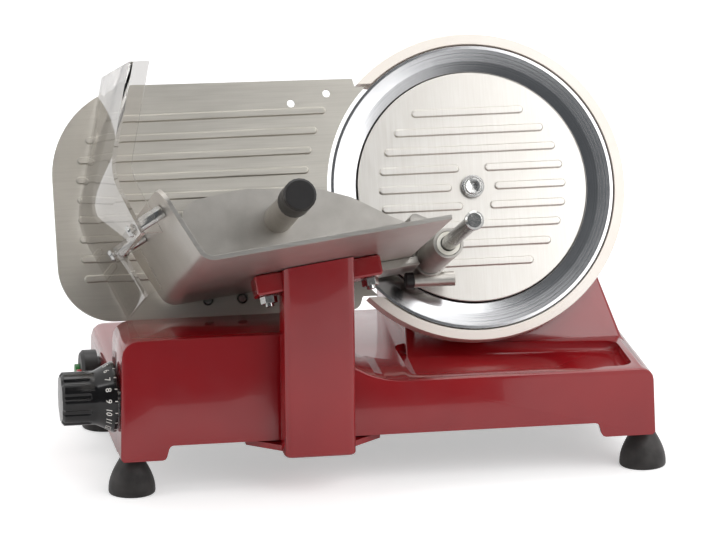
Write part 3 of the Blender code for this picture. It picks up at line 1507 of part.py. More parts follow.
def make_carriage_arm():
    """The upright arm, the web that passes under the base's front wall, and the barrel on the rod."""
    frame = FRAMES["carriage"]
    left, right = ARM_X - ARM_WIDTH / 2, ARM_X + ARM_WIDTH / 2
    back = ARM_FRONT + ARM_DEPTH
    plan = rounded(
        [(left, ARM_FRONT, 0.005), (right, ARM_FRONT, 0.005), (right, back, 0.0015), (left, back, 0.0015)]
    )
    bm = extruded(plan, ARM_BOTTOM, 0.190)
    bm.normal_update()
    low = [
        edge
        for edge in bm.edges
        if all(abs(v.co.z - ARM_BOTTOM) < 1e-6 for v in edge.verts)
        and abs(edge.link_faces[0].normal.dot(edge.link_faces[1].normal)) < 0.7
    ]
    bmesh.ops.bevel(bm, geom=low, offset=0.0012, segments=1, affect="EDGES")
    arm = make_part("carriage_arm", bm, "red_enamel", frame)
    inside = block(
        (left + ARM_WALL, ARM_FRONT + ARM_WALL, ARM_BOTTOM + 0.014), (right - ARM_WALL, back + 0.002, 0.200)
    )
    above = block((-0.4, -2 * GAP, -0.1), (0.2, 0.3, 0.4))
    above.transform(tray_lean())
    bar_seat = block((-0.4, -CROSS_BAR_HEIGHT - 2 * GAP, -0.1), (0.2, 0.3, CROSS_BAR_FRONT + GAP))
    bar_seat.transform(tray_lean())
    half = FOOT_WIDTH / 2
    web_top = ARM_BOTTOM + WEB_THICKNESS
    web = [
        (left + 0.002, back - 0.006),
        (right - 0.002, back - 0.006),
        (ARM_X + half, ROD_Y - 0.008),
        (ARM_X + half, ROD_Y + 0.002),
        (ARM_X - half, ROD_Y + 0.002),
        (ARM_X - half, ROD_Y - 0.008),
    ]
    barrel = cylinder(BARREL_RADIUS, FOOT_WIDTH - 0.001, (ARM_X - half + 0.0005, ROD_Y, ROD_Z), "X")
    rear = block(
        (ARM_X - 0.010, ROD_Y + 0.004, ARM_BOTTOM + 0.0009), (ARM_X + 0.010, BAR_FRONT - 0.002, 0.0400)
    )
    pillar = block(
        (ARM_X - half + 0.001, ROD_Y - 0.0075, ARM_BOTTOM + 0.0013),
        (ARM_X + half - 0.001, ROD_Y + 0.006, ROD_Z),
    )
    join(arm, make_cutter("arm_web", extruded(web, ARM_BOTTOM + 0.0004, web_top), frame))
    join(arm, make_cutter("arm_pillar", pillar, frame))
    join(arm, make_cutter("arm_barrel", barrel, frame))
    join(arm, make_cutter("arm_tab", rear, frame))
    cut(arm, make_cutter("arm_channel", inside, frame))
    cut(arm, make_cutter("arm_top", above, FRAMES["tray"]))
    cut(arm, make_cutter("arm_bar_seat", bar_seat, FRAMES["tray"]))
    bores = [
        cylinder(BUSH_OUTER + GAP, FOOT_WIDTH + 0.01, (ARM_X - half - 0.005, ROD_Y, ROD_Z), "X"),
        cylinder(0.0023, 0.009, (ARM_X, BAR_FRONT - 0.010, roller_z()), "Y", 12),
    ]
    cut(arm, make_cutter("arm_bores", gathered(*bores), frame))
    for name, x in (("arm_bushing_left", ARM_X - half), ("arm_bushing_right", ARM_X + half - BUSH_LENGTH)):
        make_turned(
            name,
            ring_profile(ROD_RADIUS + RUNNING, BUSH_OUTER, 0, BUSH_LENGTH),
            "bronze",
            frame,
            (x, ROD_Y, ROD_Z),
            "X",
        )
    make_part(
        "roller_pin",
        cylinder(0.0020, 0.0155, (ARM_X, BAR_FRONT - 0.0095, roller_z()), "Y", 12),
        "bright_steel",
        frame,
    )
    make_turned(
        "guide_roller",
        ring_profile(0.0020 + RUNNING, ROLLER_RADIUS, 0, ROLLER_WIDTH),
        "nylon",
        frame,
        (ARM_X, BAR_FRONT - 0.0009, roller_z()),
        "Y",
        16,
    )


def roller_z():
    return BAR_BOTTOM - ROLLER_RADIUS - GAP


def tray_lean():
    """Places shapes drawn along the tray's floor: x along the floor, y up from its underside."""
    corner = Matrix.Translation((TRAY_RIGHT, tray_underside(TRAY_RIGHT), 0))
    return corner @ Matrix.Rotation(TRAY_SLOPE, 4, "Z")


def make_cross_bar():
    """The bar on top of the arm that the tray's floor is bolted down to."""
    frame = FRAMES["tray"]
    middle = -(TRAY_RIGHT - ARM_X) / cos(TRAY_SLOPE)
    half = CROSS_BAR_LENGTH / 2
    bar = block(
        (middle - half, -GAP - CROSS_BAR_HEIGHT, CROSS_BAR_FRONT - CROSS_BAR_DEPTH),
        (middle + half, -GAP, CROSS_BAR_FRONT),
    )
    bmesh.ops.bevel(bar, geom=bar.edges[:], offset=0.0012, segments=1, affect="EDGES")
    bar.transform(tray_lean())
    part = make_part("tray_cross_bar", bar, "red_enamel", frame)
    bolt_z = CROSS_BAR_FRONT - CROSS_BAR_DEPTH / 2
    holes, tray_holes = [], []
    for name, side in (("left", -1), ("right", 1)):
        x = middle + side * BOLT_SPACING / 2
        holes.append(cylinder(BOLT_RADIUS + GAP, 0.020, (x, -CROSS_BAR_HEIGHT - 0.004, bolt_z), "Y", 12))
        tray_holes.append(cylinder(BOLT_RADIUS + GAP, 0.008, (x, -0.002, bolt_z), "Y", 12))
        bolt = make_screw(
            f"cross_bar_bolt_{name}",
            (0, 0, 0),
            0.0055,
            0.0024,
            BOLT_RADIUS,
            TRAY_SHEET + CROSS_BAR_HEIGHT + 0.008,
            frame,
        )
        seat = Matrix.Translation((x, TRAY_SHEET + GAP, bolt_z))
        bolt.matrix_basis = tray_lean() @ seat @ AXIS_TURN["Y"]
        top = -CROSS_BAR_HEIGHT - 2 * GAP
        bore = circle(x, bolt_z, BOLT_RADIUS + 0.0005, 12)
        nut = extruded(circle(x, bolt_z, 0.0058, 6), top - 0.005, top, "Y", [bore])
        nut.transform(tray_lean())
        make_part(f"cross_bar_nut_{name}", nut, "bright_steel", frame)
    for shape in (*holes, *tray_holes):
        shape.transform(tray_lean())
    cut(part, make_cutter("cross_bar_holes", gathered(*holes), frame))
    return gathered(*tray_holes)


def tray_outline():
    """The tray's section: the floor, the bend and the left wall, one sheet thick."""
    bend = Vector(tray_bend())
    floor = Vector((cos(TRAY_SLOPE), sin(TRAY_SLOPE)))
    wall = Vector((cos(TRAY_WALL_ANGLE), sin(TRAY_WALL_ANGLE)))
    floor_out = Vector((floor.y, -floor.x)) * TRAY_SHEET
    wall_out = Vector((-wall.y, wall.x)) * TRAY_SHEET
    half = (TRAY_WALL_ANGLE - TRAY_SLOPE) / 2
    outer_bend = bend - (floor + wall).normalized() * (TRAY_SHEET / sin(half))
    right = bend + floor * TRAY_FLOOR_LENGTH
    top = bend + wall * TRAY_WALL_LENGTH
    return rounded(
        [
            (*right, 0),
            (*bend, TRAY_BEND),
            (*top, 0),
            (*(top + wall_out), 0),
            (*outer_bend, TRAY_BEND + TRAY_SHEET),
            (*(right + floor_out), 0),
        ],
        6,
    )


def make_tray(holes):
    frame = FRAMES["tray"]
    front = TRAY_BACK + TRAY_DEPTH
    bm = extruded(tray_outline(), TRAY_BACK, front)
    bm.normal_update()
    top = max(v.co.y for v in bm.verts)
    corners = [
        edge
        for edge in bm.edges
        if abs(edge.verts[0].co.z - edge.verts[1].co.z) < 1e-6
        and all(v.co.y > top - 0.003 and v.co.x < -0.2 for v in edge.verts)
    ]
    bmesh.ops.bevel(bm, geom=corners, offset=0.014, segments=5, profile=0.5, affect="EDGES")
    tray = make_part("product_tray", bm, "satin_aluminium", frame)
    cut(tray, make_cutter("tray_bolt_holes", holes, frame))
    cut(tray, make_cutter("tray_spacer_holes", spacer_shapes(0.0018, -0.004, 0.004, 12), frame))
    return tray


def wall_frame(depth):
    """A frame on the outside of the tray's wall, with its z pointing out to the hand guard."""
    bend = Vector(tray_bend())
    wall = Vector((cos(TRAY_WALL_ANGLE), sin(TRAY_WALL_ANGLE)))
    out = Vector((-wall.y, wall.x))
    at = bend + wall * (TRAY_WALL_LENGTH - SPACER_DROP) + out * TRAY_SHEET
    turn = Matrix(((0, wall.x, out.x, at.x), (0, wall.y, out.y, at.y), (1, 0, 0, depth), (0, 0, 0, 1)))
    return turn


def spacer_shapes(radius, low, high, segments, end_radius=None):
    shapes = []
    for depth in SPACER_DEPTHS:
        shape = cylinder(radius, high - low, (0, 0, low), segments=segments, end_radius=end_radius)
        shape.transform(wall_frame(depth))
        shapes.append(shape)
    return gathered(*shapes)


def guard_gap():
    """The distance from the tray's wall to the hand guard, along the spacers."""
    frame = wall_frame(0)
    start = Vector((frame[0][3], frame[1][3]))
    out = Vector((frame[0][2], frame[1][2]))
    _, knee, foot = guard_corners()
    along = foot - knee
    inner = Vector((along.y, -along.x)).normalized()
    inner = inner if inner.x > 0 else -inner
    face = knee + inner * GUARD_SHEET
    return (face - start).dot(inner) / out.dot(inner)


def guard_corners():
    """The outside of the guard's top, knee and foot."""
    bend = Vector(tray_bend())
    return [bend + Vector(offset) for offset in (GUARD_TOP, GUARD_KNEE, GUARD_FOOT)]


def guard_outline(inner, outer=0.0):
    """The guard's section between two depths below its outside, its ends drawn in with the outer one."""
    top, knee, foot = guard_corners()
    up, down = (top - knee).normalized(), (foot - knee).normalized()
    up_in = Vector((up.y, -up.x))
    down_in = Vector((-down.y, down.x))
    half = acos(up.dot(down)) / 2
    knee_in = (up + down).normalized() / sin(half)
    top -= up * outer / 2
    foot -= down * outer / 2
    return rounded(
        [
            (*(top + up_in * outer), 0),
            (*(knee + knee_in * outer), GUARD_KNEE_RADIUS - outer),
            (*(foot + down_in * outer), 0),
            (*(foot + down_in * inner), 0),
            (*(knee + knee_in * inner), GUARD_KNEE_RADIUS - inner),
            (*(top + up_in * inner), 0),
        ],
        8,
    )


def guard_foot_lip():
    """The lip along the front of the guard's foot, from inside the sheet to its free edge."""
    _, knee, foot = guard_corners()
    up = (knee - foot).normalized()
    inward = Vector((up.y, -up.x))
    low = foot + up * 0.0004
    high = foot + up * 0.0300
    inner, outer = inward * GUARD_LIP, inward * 0.0010
    return [(corner.x, corner.y) for corner in (low + outer, low + inner, high + inner, high + outer)]


def make_hand_guard():
    """A bent clear plate beside the tray's wall, with a lip along its front edges."""
    frame = FRAMES["tray"]
    plate = extruded(guard_outline(GUARD_SHEET), TRAY_BACK, GUARD_FRONT)
    guard = make_part("hand_guard", plate, "clear_plastic", frame)
    lip = extruded(guard_outline(GUARD_LIP, 0.001), GUARD_FRONT - GUARD_SHEET, GUARD_FRONT - 0.0002)
    join(guard, make_cutter("guard_lip", lip, frame))
    drop = atan2(GUARD_FRONT_DROP, GUARD_FRONT - TRAY_BACK)
    above = block((-0.4, 0, -0.1), (0.1, 0.1, 0.4))
    above.transform(
        Matrix.Translation((0, guard_corners()[0].y - 0.0005, TRAY_BACK)) @ Matrix.Rotation(drop, 4, "X")
    )
    cut(guard, make_cutter("guard_top_cut", above, frame))
    foot = block((-0.4, -0.2, GUARD_FOOT_FRONT), (0.1, GUARD_FOOT_TOP, 0.4))
    cut(guard, make_cutter("guard_foot_cut", foot, frame))
    foot_lip = extruded(guard_foot_lip(), GUARD_FOOT_FRONT - GUARD_SHEET, GUARD_FOOT_FRONT - 0.0002)
    join(guard, make_cutter("guard_foot_lip", foot_lip, frame))
    reach = guard_gap()
    cut(guard, make_cutter("guard_holes", spacer_shapes(0.0018, reach - 0.002, reach + 0.006, 12), frame))
    for name, depth in zip(("rear", "front"), SPACER_DEPTHS):
        spacer = make_turned(
            f"guard_spacer_{name}",
            ring_profile(0.0018, SPACER_RADIUS, GAP, reach - 0.0006),
            "bright_steel",
            frame,
            steps=14,
        )
        spacer.matrix_basis = wall_frame(depth)
        face = reach + GUARD_SHEET + GUARD_SKEW + GAP
        screw = make_screw(
            f"guard_screw_{name}", (0, 0, 0), 0.0042, 0.0022, 0.0015, face + TRAY_SHEET - 0.0005, frame
        )
        screw.matrix_basis = wall_frame(depth) @ Matrix.Translation((0, 0, face))


# Pusher


def floor_height(x):
    """The top of the tray's floor at this x, in the pusher's frame."""
    return TRAY_RIGHT_Y - (TRAY_RIGHT - x) * tan(TRAY_SLOPE)


def pusher_outline():
    """The pusher plate seen from the front, from the tray's wall to the arm over the tray's right edge."""
    clear = 0.0034
    left = tray_bend()[0] + 0.0112
    edge = TRAY_RIGHT - 0.0012
    over_lug = PUSHER_ROD_AT[1] + LUG_RADIUS + 0.0009
    corners = [
        (left, floor_height(left) + clear, 0.003),
        (edge, floor_height(edge) + clear, 0.0005),
        (edge, over_lug, 0.0015),
        (edge + 0.0240, over_lug, 0.001),
        (-0.0330, -0.0320, 0.006),
        (-0.0600, -0.0200, 0.020),
        (-0.0860, -0.0055, 0.026),
        (-0.1080, 0.0012, 0.030),
        (-0.1580, 0.0038, 0.040),
        (left, -0.0040, 0.014),
    ]
    return rounded([(x - PUSHER_ROD_AT[0], y - PUSHER_ROD_AT[1], r) for x, y, r in corners], 3)


def make_pusher():
    frame = FRAMES["pusher"]
    top = PUSHER_BACK + PUSHER_THICKNESS
    pusher = make_part("pusher_plate", extruded(pusher_outline(), PUSHER_BACK, top), "cast_aluminium", frame)
    sleeve = cylinder(SLEEVE_RADIUS, SLEEVE_LENGTH, (0, 0, SLEEVE_BACK), segments=24)
    arm_low = LUG_RADIUS + 0.0009
    side = TRAY_RIGHT - 0.0012 - PUSHER_ROD_AT[0]
    arm_outline = rounded(
        [(side, arm_low, 0), (0.0072, arm_low, 0), (0.0033, 0.0195, 0.005), (side + 0.002, 0.0285, 0.003)]
    )
    shapes = [extruded(arm_outline, top - 0.001, SLEEVE_BACK + 0.030)]
    root_outline = [(-0.0090, 0.004), (0.0085, 0.004), (0.0082, arm_low + 0.002), (-0.0090, arm_low + 0.002)]
    shapes.append(extruded(root_outline, SLEEVE_BACK + 0.0002, SLEEVE_BACK + 0.0295))
    join(pusher, make_cutter("pusher_sleeve", sleeve, frame))
    for i, shape in enumerate(shapes):
        join(pusher, make_cutter(f"pusher_arm_{i}", shape, frame))
    bore = cylinder(LINER_OUTER + RUNNING, SLEEVE_LENGTH + 0.004, (0, 0, SLEEVE_BACK - 0.002))
    cut(pusher, make_cutter("sleeve_bore", bore, frame))
    handle_at = (HANDLE_AT[0] - PUSHER_ROD_AT[0], HANDLE_AT[1] - PUSHER_ROD_AT[1])
    stud_hole = cylinder(0.0033, 0.010, (*handle_at, PUSHER_BACK - 0.003), segments=14)
    cut(pusher, make_cutter("handle_hole", stud_hole, frame))
    make_turned(
        "sleeve_liner",
        ring_profile(PUSHER_ROD_RADIUS + RUNNING, LINER_OUTER, SLEEVE_BACK, SLEEVE_BACK + SLEEVE_LENGTH),
        "nylon",
        frame,
    )
    stem_low = top + GAP
    stem_high = stem_low + HANDLE_LENGTH
    make_turned(
        "pusher_handle",
        [
            (0, stem_high - 0.001),
            (HANDLE_RADIUS - 0.0010, stem_high - 0.001),
            (HANDLE_RADIUS - 0.0004, stem_high - 0.020),
            (HANDLE_RADIUS, stem_low),
            (0.0030, stem_low),
            (0.0030, PUSHER_BACK + 0.0005),
            (0, PUSHER_BACK + 0.0005),
        ],
        "cast_aluminium",
        frame,
        (*handle_at, 0),
        closed=False,
    )
    cap_low = stem_high - CAP_LENGTH + 0.002
    cap_high = stem_high + 0.002
    make_turned(
        "handle_cap",
        [
            (0, cap_high),
            (CAP_RADIUS - 0.0015, cap_high),
            (CAP_RADIUS, cap_high - 0.0015),
            (CAP_RADIUS, cap_low),
            (HANDLE_RADIUS + GAP, cap_low),
            (HANDLE_RADIUS + GAP, stem_high - 0.0006),
            (0, stem_high - 0.0006),
        ],
        "black_plastic",
        frame,
        (*handle_at, 0),
        closed=False,
    )
    make_teeth(frame)


def make_teeth(frame):
    """Short spikes on the back of the pusher plate that hold the end of the food."""
    spikes = []
    for row, y in enumerate((0.008, 0.024, 0.040)):
        for i in range(4):
            x = -0.070 - 0.022 * i - 0.011 * (row % 2)
            tip = (x, y - 0.0005, PUSHER_BACK - 0.0027)
            spikes.append(cylinder(0.0004, 0.0028, tip, segments=6, end_radius=0.0018))
    pusher = bpy.data.objects["pusher_plate"]
    join(pusher, make_cutter("pusher_teeth", gathered(*spikes), frame))


def make_pusher_rod():
    """The rod along the tray's right edge, its wider head, and the lug under the tray that clamps it."""
    frame = FRAMES["tray"]
    x, y = PUSHER_ROD_AT
    neck = PUSHER_ROD_END - ROD_HEAD_LENGTH
    make_turned(
        "pusher_rod",
        [
            (0, PUSHER_ROD_END),
            (ROD_HEAD_RADIUS - 0.0016, PUSHER_ROD_END),
            (ROD_HEAD_RADIUS, PUSHER_ROD_END - 0.0014),
            (ROD_HEAD_RADIUS, neck + 0.0008),
            (PUSHER_ROD_RADIUS, neck),
            (PUSHER_ROD_RADIUS, LUG_BACK),
            (0, LUG_BACK),
        ],
        "bright_steel",
        frame,
        (x, y, 0),
        closed=False,
    )
    lug_front = LUG_BACK + LUG_LENGTH
    lug = make_part("rod_lug", cylinder(LUG_RADIUS, LUG_LENGTH, (x, y, LUG_BACK)), "cast_aluminium", frame)
    reach = x - LUG_RADIUS + 0.004 - TRAY_RIGHT
    arm = block((-0.048, -GAP - LUG_PLATE, LUG_BACK + 0.0005), (reach, -GAP, lug_front + 0.022))
    arm.transform(tray_lean())
    clamp_y = y - CLAMP_DROP
    clamp_z = LUG_BACK + LUG_LENGTH / 2
    low, high = CLAMP_ENDS
    barrel = cylinder(CLAMP_RADIUS, high - low, (x + low, clamp_y, clamp_z), "X")
    join(lug, make_cutter("lug_arm", arm, frame))
    join(lug, make_cutter("lug_barrel", barrel, frame))
    clear = cylinder(SLEEVE_RADIUS + 0.0025, 0.08, (x, y, lug_front))
    bores = [
        cylinder(PUSHER_ROD_RADIUS + GAP, LUG_LENGTH + 0.01, (x, y, LUG_BACK - 0.005)),
        cylinder(0.0029, 0.040, (x - 0.018, clamp_y, clamp_z), "X", 12),
    ]
    cut(lug, make_cutter("lug_clear", clear, frame))
    cut(lug, make_cutter("lug_bores", gathered(*bores), frame))
    make_turned(
        "lug_screw",
        [
            (0, 0.0060),
            (0.0048, 0.0060),
            (0.0056, 0.0050),
            (0.0056, GAP),
            (0.0025, GAP),
            (0.0025, -0.0260),
            (0, -0.0260),
        ],
        "black_plastic",
        frame,
        (x + low, clamp_y, clamp_z),
        "-X",
        closed=False,
    )


FRAMES = make_frames()


def build():
    make_base_casting()
    make_feet()
    make_bottom_plate()
    make_ring_guard()
    make_blade()
    make_blade_hub()
    make_blade_axle()
    make_blade_cover()
    make_slice_deflector()
    make_drive()
    make_gauge_plate()
    make_gauge_slide()
    make_index()
    make_switch()
    make_gland()
    make_carriage_rods()
    make_carriage_arm()
    make_tray(make_cross_bar())
    make_hand_guard()
    make_pusher()
    make_pusher_rod()


build()
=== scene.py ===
"""Meat slicer: finishes, printed marks, small screws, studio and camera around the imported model."""

from math import acos, asin, atan2, cos, hypot, pi, radians, sin, sqrt, tan

import bmesh
import bpy
from mathutils import Matrix, Vector
from mathutils.geometry import delaunay_2d_cdt


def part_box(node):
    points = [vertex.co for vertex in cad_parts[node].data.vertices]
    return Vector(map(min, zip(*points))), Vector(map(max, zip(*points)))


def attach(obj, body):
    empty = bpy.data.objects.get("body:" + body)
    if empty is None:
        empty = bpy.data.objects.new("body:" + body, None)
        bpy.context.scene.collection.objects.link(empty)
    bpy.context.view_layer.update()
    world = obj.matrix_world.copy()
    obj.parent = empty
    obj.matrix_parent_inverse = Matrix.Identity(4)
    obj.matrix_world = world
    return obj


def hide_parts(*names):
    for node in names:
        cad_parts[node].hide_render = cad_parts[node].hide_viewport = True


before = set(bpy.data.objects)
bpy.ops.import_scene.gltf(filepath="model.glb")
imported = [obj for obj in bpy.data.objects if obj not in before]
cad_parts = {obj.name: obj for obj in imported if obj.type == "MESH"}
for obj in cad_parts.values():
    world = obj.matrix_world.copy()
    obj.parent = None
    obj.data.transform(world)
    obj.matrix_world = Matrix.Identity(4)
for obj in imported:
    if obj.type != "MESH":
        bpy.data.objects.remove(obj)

bl_info = {
    "name": "Meat slicer",
    "version": (1, 0, 0),
    "blender": (4, 5, 0),
    "location": "View3D > Sidebar > Slicer",
    "description": "Finishes and small parts for an electric gravity-feed meat slicer",
    "category": "Object",
}

for startup in ("Cube", "Light", "Camera"):
    if startup in bpy.data.objects:
        bpy.data.objects.remove(bpy.data.objects[startup])
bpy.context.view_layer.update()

MM = 0.001
TILT = radians(22.5)
BLADE_CENTRE = Vector((0.08865, 0.06654234, 0.1772))
BASE_ORIGIN = Vector((BLADE_CENTRE.x, BLADE_CENTRE.y, 0))
BLADE_FRAME = Matrix.Translation(BLADE_CENTRE) @ Matrix.Rotation(pi / 2 - TILT, 4, "X")
BASE_FRAME = Matrix.Translation(BASE_ORIGIN)


# Colours and node helpers


def linear(code):
    """An sRGB hex value as linear red, green and blue."""
    shares = [int(code[i : i + 2], 16) / 255 for i in (1, 3, 5)]
    return tuple(c / 12.92 if c <= 0.04045 else ((c + 0.055) / 1.055) ** 2.4 for c in shares)


def rgba(colour):
    return (*colour[:3], 1.0)


def connect(socket, value):
    """Gives an input a value, or links it to another node's output."""
    if isinstance(value, bpy.types.NodeSocket):
        socket.id_data.links.new(value, socket)
    else:
        socket.default_value = value


def add(tree, kind, inputs=None, **settings):
    """Adds a node, sets its properties, and sets or links its inputs."""
    made = tree.nodes.new(kind)
    for key, value in settings.items():
        setattr(made, key, value)
    for key, value in (inputs or {}).items():
        connect(made.inputs[key], value)
    return made


def per_metre(millimetres):
    """A texture scale whose pattern repeats about once in this many millimetres."""
    return 1 / (millimetres * MM)


def blank_material(name):
    """A new material that holds only a Principled shader and its output."""
    material = bpy.data.materials.new(name)
    material.use_nodes = True
    tree = material.node_tree
    return material, tree, tree.nodes["Principled BSDF"]


def set_shader(shader, **values):
    for key, value in values.items():
        connect(shader.inputs[key.replace("_", " ")], value)


def place_of(tree, turn=(0, 0, 0), stretch=(1, 1, 1), at=(0, 0, 0)):
    """The object's own coordinates, moved, turned and stretched as a pattern needs."""
    source = add(tree, "ShaderNodeTexCoord").outputs["Object"]
    moved = add(
        tree,
        "ShaderNodeVectorMath",
        {0: source, 1: at},
        operation="SUBTRACT",
    ).outputs[0]
    return add(
        tree,
        "ShaderNodeMapping",
        {"Vector": moved, "Rotation": turn, "Scale": stretch},
    ).outputs[0]


def mottle(tree, place, millimetres, detail=3.0, roughness=0.5):
    """Soft noise whose patches are about this wide."""
    return add(
        tree,
        "ShaderNodeTexNoise",
        {"Vector": place, "Scale": per_metre(millimetres), "Detail": detail, "Roughness": roughness},
    ).outputs["Fac"]


def ranged(tree, value, low, high, start=0.3, end=0.7):
    """Spreads a pattern's middle values over a range."""
    return add(
        tree,
        "ShaderNodeMapRange",
        {"Value": value, "From Min": start, "From Max": end, "To Min": low, "To Max": high},
    ).outputs["Result"]


def blended(tree, factor, first, second):
    return add(
        tree,
        "ShaderNodeMix",
        {0: factor, 6: rgba(first), 7: rgba(second)},
        data_type="RGBA",
    ).outputs[2]


def raise_surface(tree, shader, height, depth):
    """Lets a height pattern lift the surface by up to a depth in millimetres."""
    bump = add(tree, "ShaderNodeBump", {"Height": height, "Distance": depth * MM, "Strength": 1.0})
    connect(shader.inputs["Normal"], bump.outputs["Normal"])


# Materials


def enamel(name, colour, shade, roughness, gloss):
    """Baked enamel over a casting: even and glossy, with the faint orange peel of a sprayed coat."""
    material, tree, shader = blank_material(name)
    place = place_of(tree)
    cloud = ranged(tree, mottle(tree, place, 60, 2.0), 0, 1)
    # The peel of a sprayed coat is 1 to 2 mm across; it is drawn at 3 mm so that it shows
    raise_surface(tree, shader, mottle(tree, place, 3.0, 1.0), 0.012)
    set_shader(
        shader,
        Base_Color=blended(tree, cloud, colour, linear(shade)),
        Roughness=ranged(tree, mottle(tree, place, 14, 4.0), roughness * 0.8, roughness * 1.3),
        IOR=1.5,
        Coat_Weight=gloss,
        Coat_Roughness=0.04,
        Coat_IOR=1.5,
    )
    return material


def satin_aluminium(name, colour, shade, roughness, stretch, depth):
    """Anodised sheet: a pale, even metal whose fine grain runs one way and spreads the light."""
    material, tree, shader = blank_material(name)
    # Brushed grain is under 0.1 mm wide; it is drawn at 1 mm so that it shows
    grain = mottle(tree, place_of(tree, stretch=stretch, at=BLADE_CENTRE), 1.0, 2.0)
    cloud = mottle(tree, place_of(tree), 45, 3.0)
    mixed = add(tree, "ShaderNodeMath", {0: grain, 1: cloud}, operation="MULTIPLY").outputs[0]
    raise_surface(tree, shader, grain, depth)
    set_shader(
        shader,
        Base_Color=blended(tree, ranged(tree, mixed, 0, 1, 0.15, 0.38), linear(shade), colour),
        Roughness=ranged(tree, grain, roughness * 0.92, roughness * 1.1),
        Metallic=1.0,
    )
    return material


def cast_aluminium(name, colour, shade, roughness):
    """Die-cast aluminium, shot blasted: a grey metal with a fine sandy skin."""
    material, tree, shader = blank_material(name)
    place = place_of(tree)
    # Shot marks are about 0.3 mm across; they are drawn at 0.9 mm so that they show
    skin = mottle(tree, place, 0.9, 3.0, 0.6)
    cloud = ranged(tree, mottle(tree, place, 16, 3.0), 0, 1)
    raise_surface(tree, shader, skin, 0.03)
    set_shader(
        shader,
        Base_Color=blended(tree, cloud, colour, linear(shade)),
        Roughness=ranged(tree, skin, roughness * 0.85, roughness * 1.15),
        Metallic=1.0,
    )
    return material


def ground_steel(name, colour, shade, roughness, ring_mm, depth):
    """Ground steel: bright, with fine rings round the blade's axis that draw the light into fans."""
    material, tree, shader = blank_material(name)
    place = place_of(tree, (TILT - pi / 2, 0, 0), at=BLADE_CENTRE)
    flat = add(tree, "ShaderNodeVectorMath", {0: place, 1: (1, 1, 0)}, operation="MULTIPLY").outputs[0]
    radius = add(tree, "ShaderNodeVectorMath", {0: flat}, operation="LENGTH").outputs["Value"]
    rings = add(
        tree,
        "ShaderNodeTexNoise",
        {"W": radius, "Scale": per_metre(ring_mm), "Detail": 3.0},
        noise_dimensions="1D",
    ).outputs["Fac"]
    cloud = mottle(tree, place_of(tree), 22, 3.0)
    mixed = add(tree, "ShaderNodeMath", {0: rings, 1: cloud}, operation="MULTIPLY").outputs[0]
    raise_surface(tree, shader, rings, depth)
    set_shader(
        shader,
        Base_Color=blended(tree, ranged(tree, mixed, 0, 1, 0.12, 0.40), linear(shade), colour),
        Roughness=ranged(tree, rings, roughness * 0.75, roughness * 1.3),
        Metallic=1.0,
    )
    return material


def turned_steel(name, colour, shade, roughness):
    """Bright bar, drawn and turned: a smooth metal with faint handling marks."""
    material, tree, shader = blank_material(name)
    place = place_of(tree)
    marks = mottle(tree, place, 1.4, 4.0)
    raise_surface(tree, shader, marks, 0.004)
    set_shader(
        shader,
        Base_Color=blended(tree, ranged(tree, marks, 0, 1), colour, linear(shade)),
        Roughness=ranged(tree, mottle(tree, place, 6, 3.0), roughness * 0.7, roughness * 1.4),
        Metallic=1.0,
    )
    return material


def moulded(name, colour, shade, roughness, grain_mm, depth, sheen=0.0):
    """Moulded plastic or rubber: an even colour with the fine grain of its mould."""
    material, tree, shader = blank_material(name)
    place = place_of(tree)
    cloud = ranged(tree, mottle(tree, place, 9, 3.0), 0, 1)
    raise_surface(tree, shader, mottle(tree, place, grain_mm, 3.0), depth)
    set_shader(
        shader,
        Base_Color=blended(tree, cloud, colour, linear(shade)),
        Roughness=ranged(tree, cloud, roughness * 0.85, roughness * 1.2, 0, 1),
        IOR=1.5,
        Sheen_Weight=sheen,
    )
    return material


def clear_acrylic(name, tint, glancing_shade_colour):
    """Moulded clear acrylic: see-through and glossy, with slow waves left by the mould, and painted grey
    shade where the sheet is seen at a glancing angle.
    """
    material, tree, shader = blank_material(name)
    scuffs = mottle(tree, place_of(tree, stretch=(1, 1, 0.2)), 1.6, 4.0)
    # Painted shade: the colour turns to a second grey where the surface turns away from the view, for the
    # dark look of a clear sheet's edges; the scuffs make that shade patchy
    facing = add(tree, "ShaderNodeLayerWeight", {"Blend": 0.28}).outputs["Facing"]
    shade_spread = ranged(tree, scuffs, 0.8, 1.0)
    edge = add(tree, "ShaderNodeMath", {0: facing, 1: shade_spread}, operation="MULTIPLY").outputs[0]
    raise_surface(tree, shader, mottle(tree, place_of(tree), 26, 1.0), 0.05)
    # The sheet's two faces cancel each other's bending, so its body doesn't bend light and its skin shines
    set_shader(
        shader,
        Base_Color=blended(tree, edge, tint, linear(glancing_shade_colour)),
        Roughness=ranged(tree, scuffs, 0.01, 0.06, 0.45, 0.75),
        IOR=1.01,
        Transmission_Weight=1.0,
        Coat_Weight=0.7,
        Coat_Roughness=0.03,
        Coat_IOR=1.49,
    )
    return material


# Plain mouldings: finish, name, colour, shade, roughness, grain and its depth in millimetres, sheen
MOULDINGS = (
    ("black_plastic", "abs_black_satin_moulded", "#201D1E", "#171516", 0.42, 1.0, 0.02, 0.0),
    ("rubber", "rubber_black_moulded", "#2B2725", "#1D1A19", 0.62, 1.2, 0.03, 0.2),
    ("red_plastic", "abs_red_moulded", "#C8201A", "#B01713", 0.28, 1.2, 0.01, 0.0),
    ("green_plastic", "abs_green_moulded", "#2C8A3A", "#23702F", 0.28, 1.2, 0.01, 0.0),
    ("nylon", "nylon_natural_moulded", "#E2DFD6", "#D3CFC2", 0.40, 1.2, 0.02, 0.0),
    ("ink", "ink_white_printed", "#E9E7E2", "#D8D6D0", 0.45, 1.0, 0.004, 0.0),
)


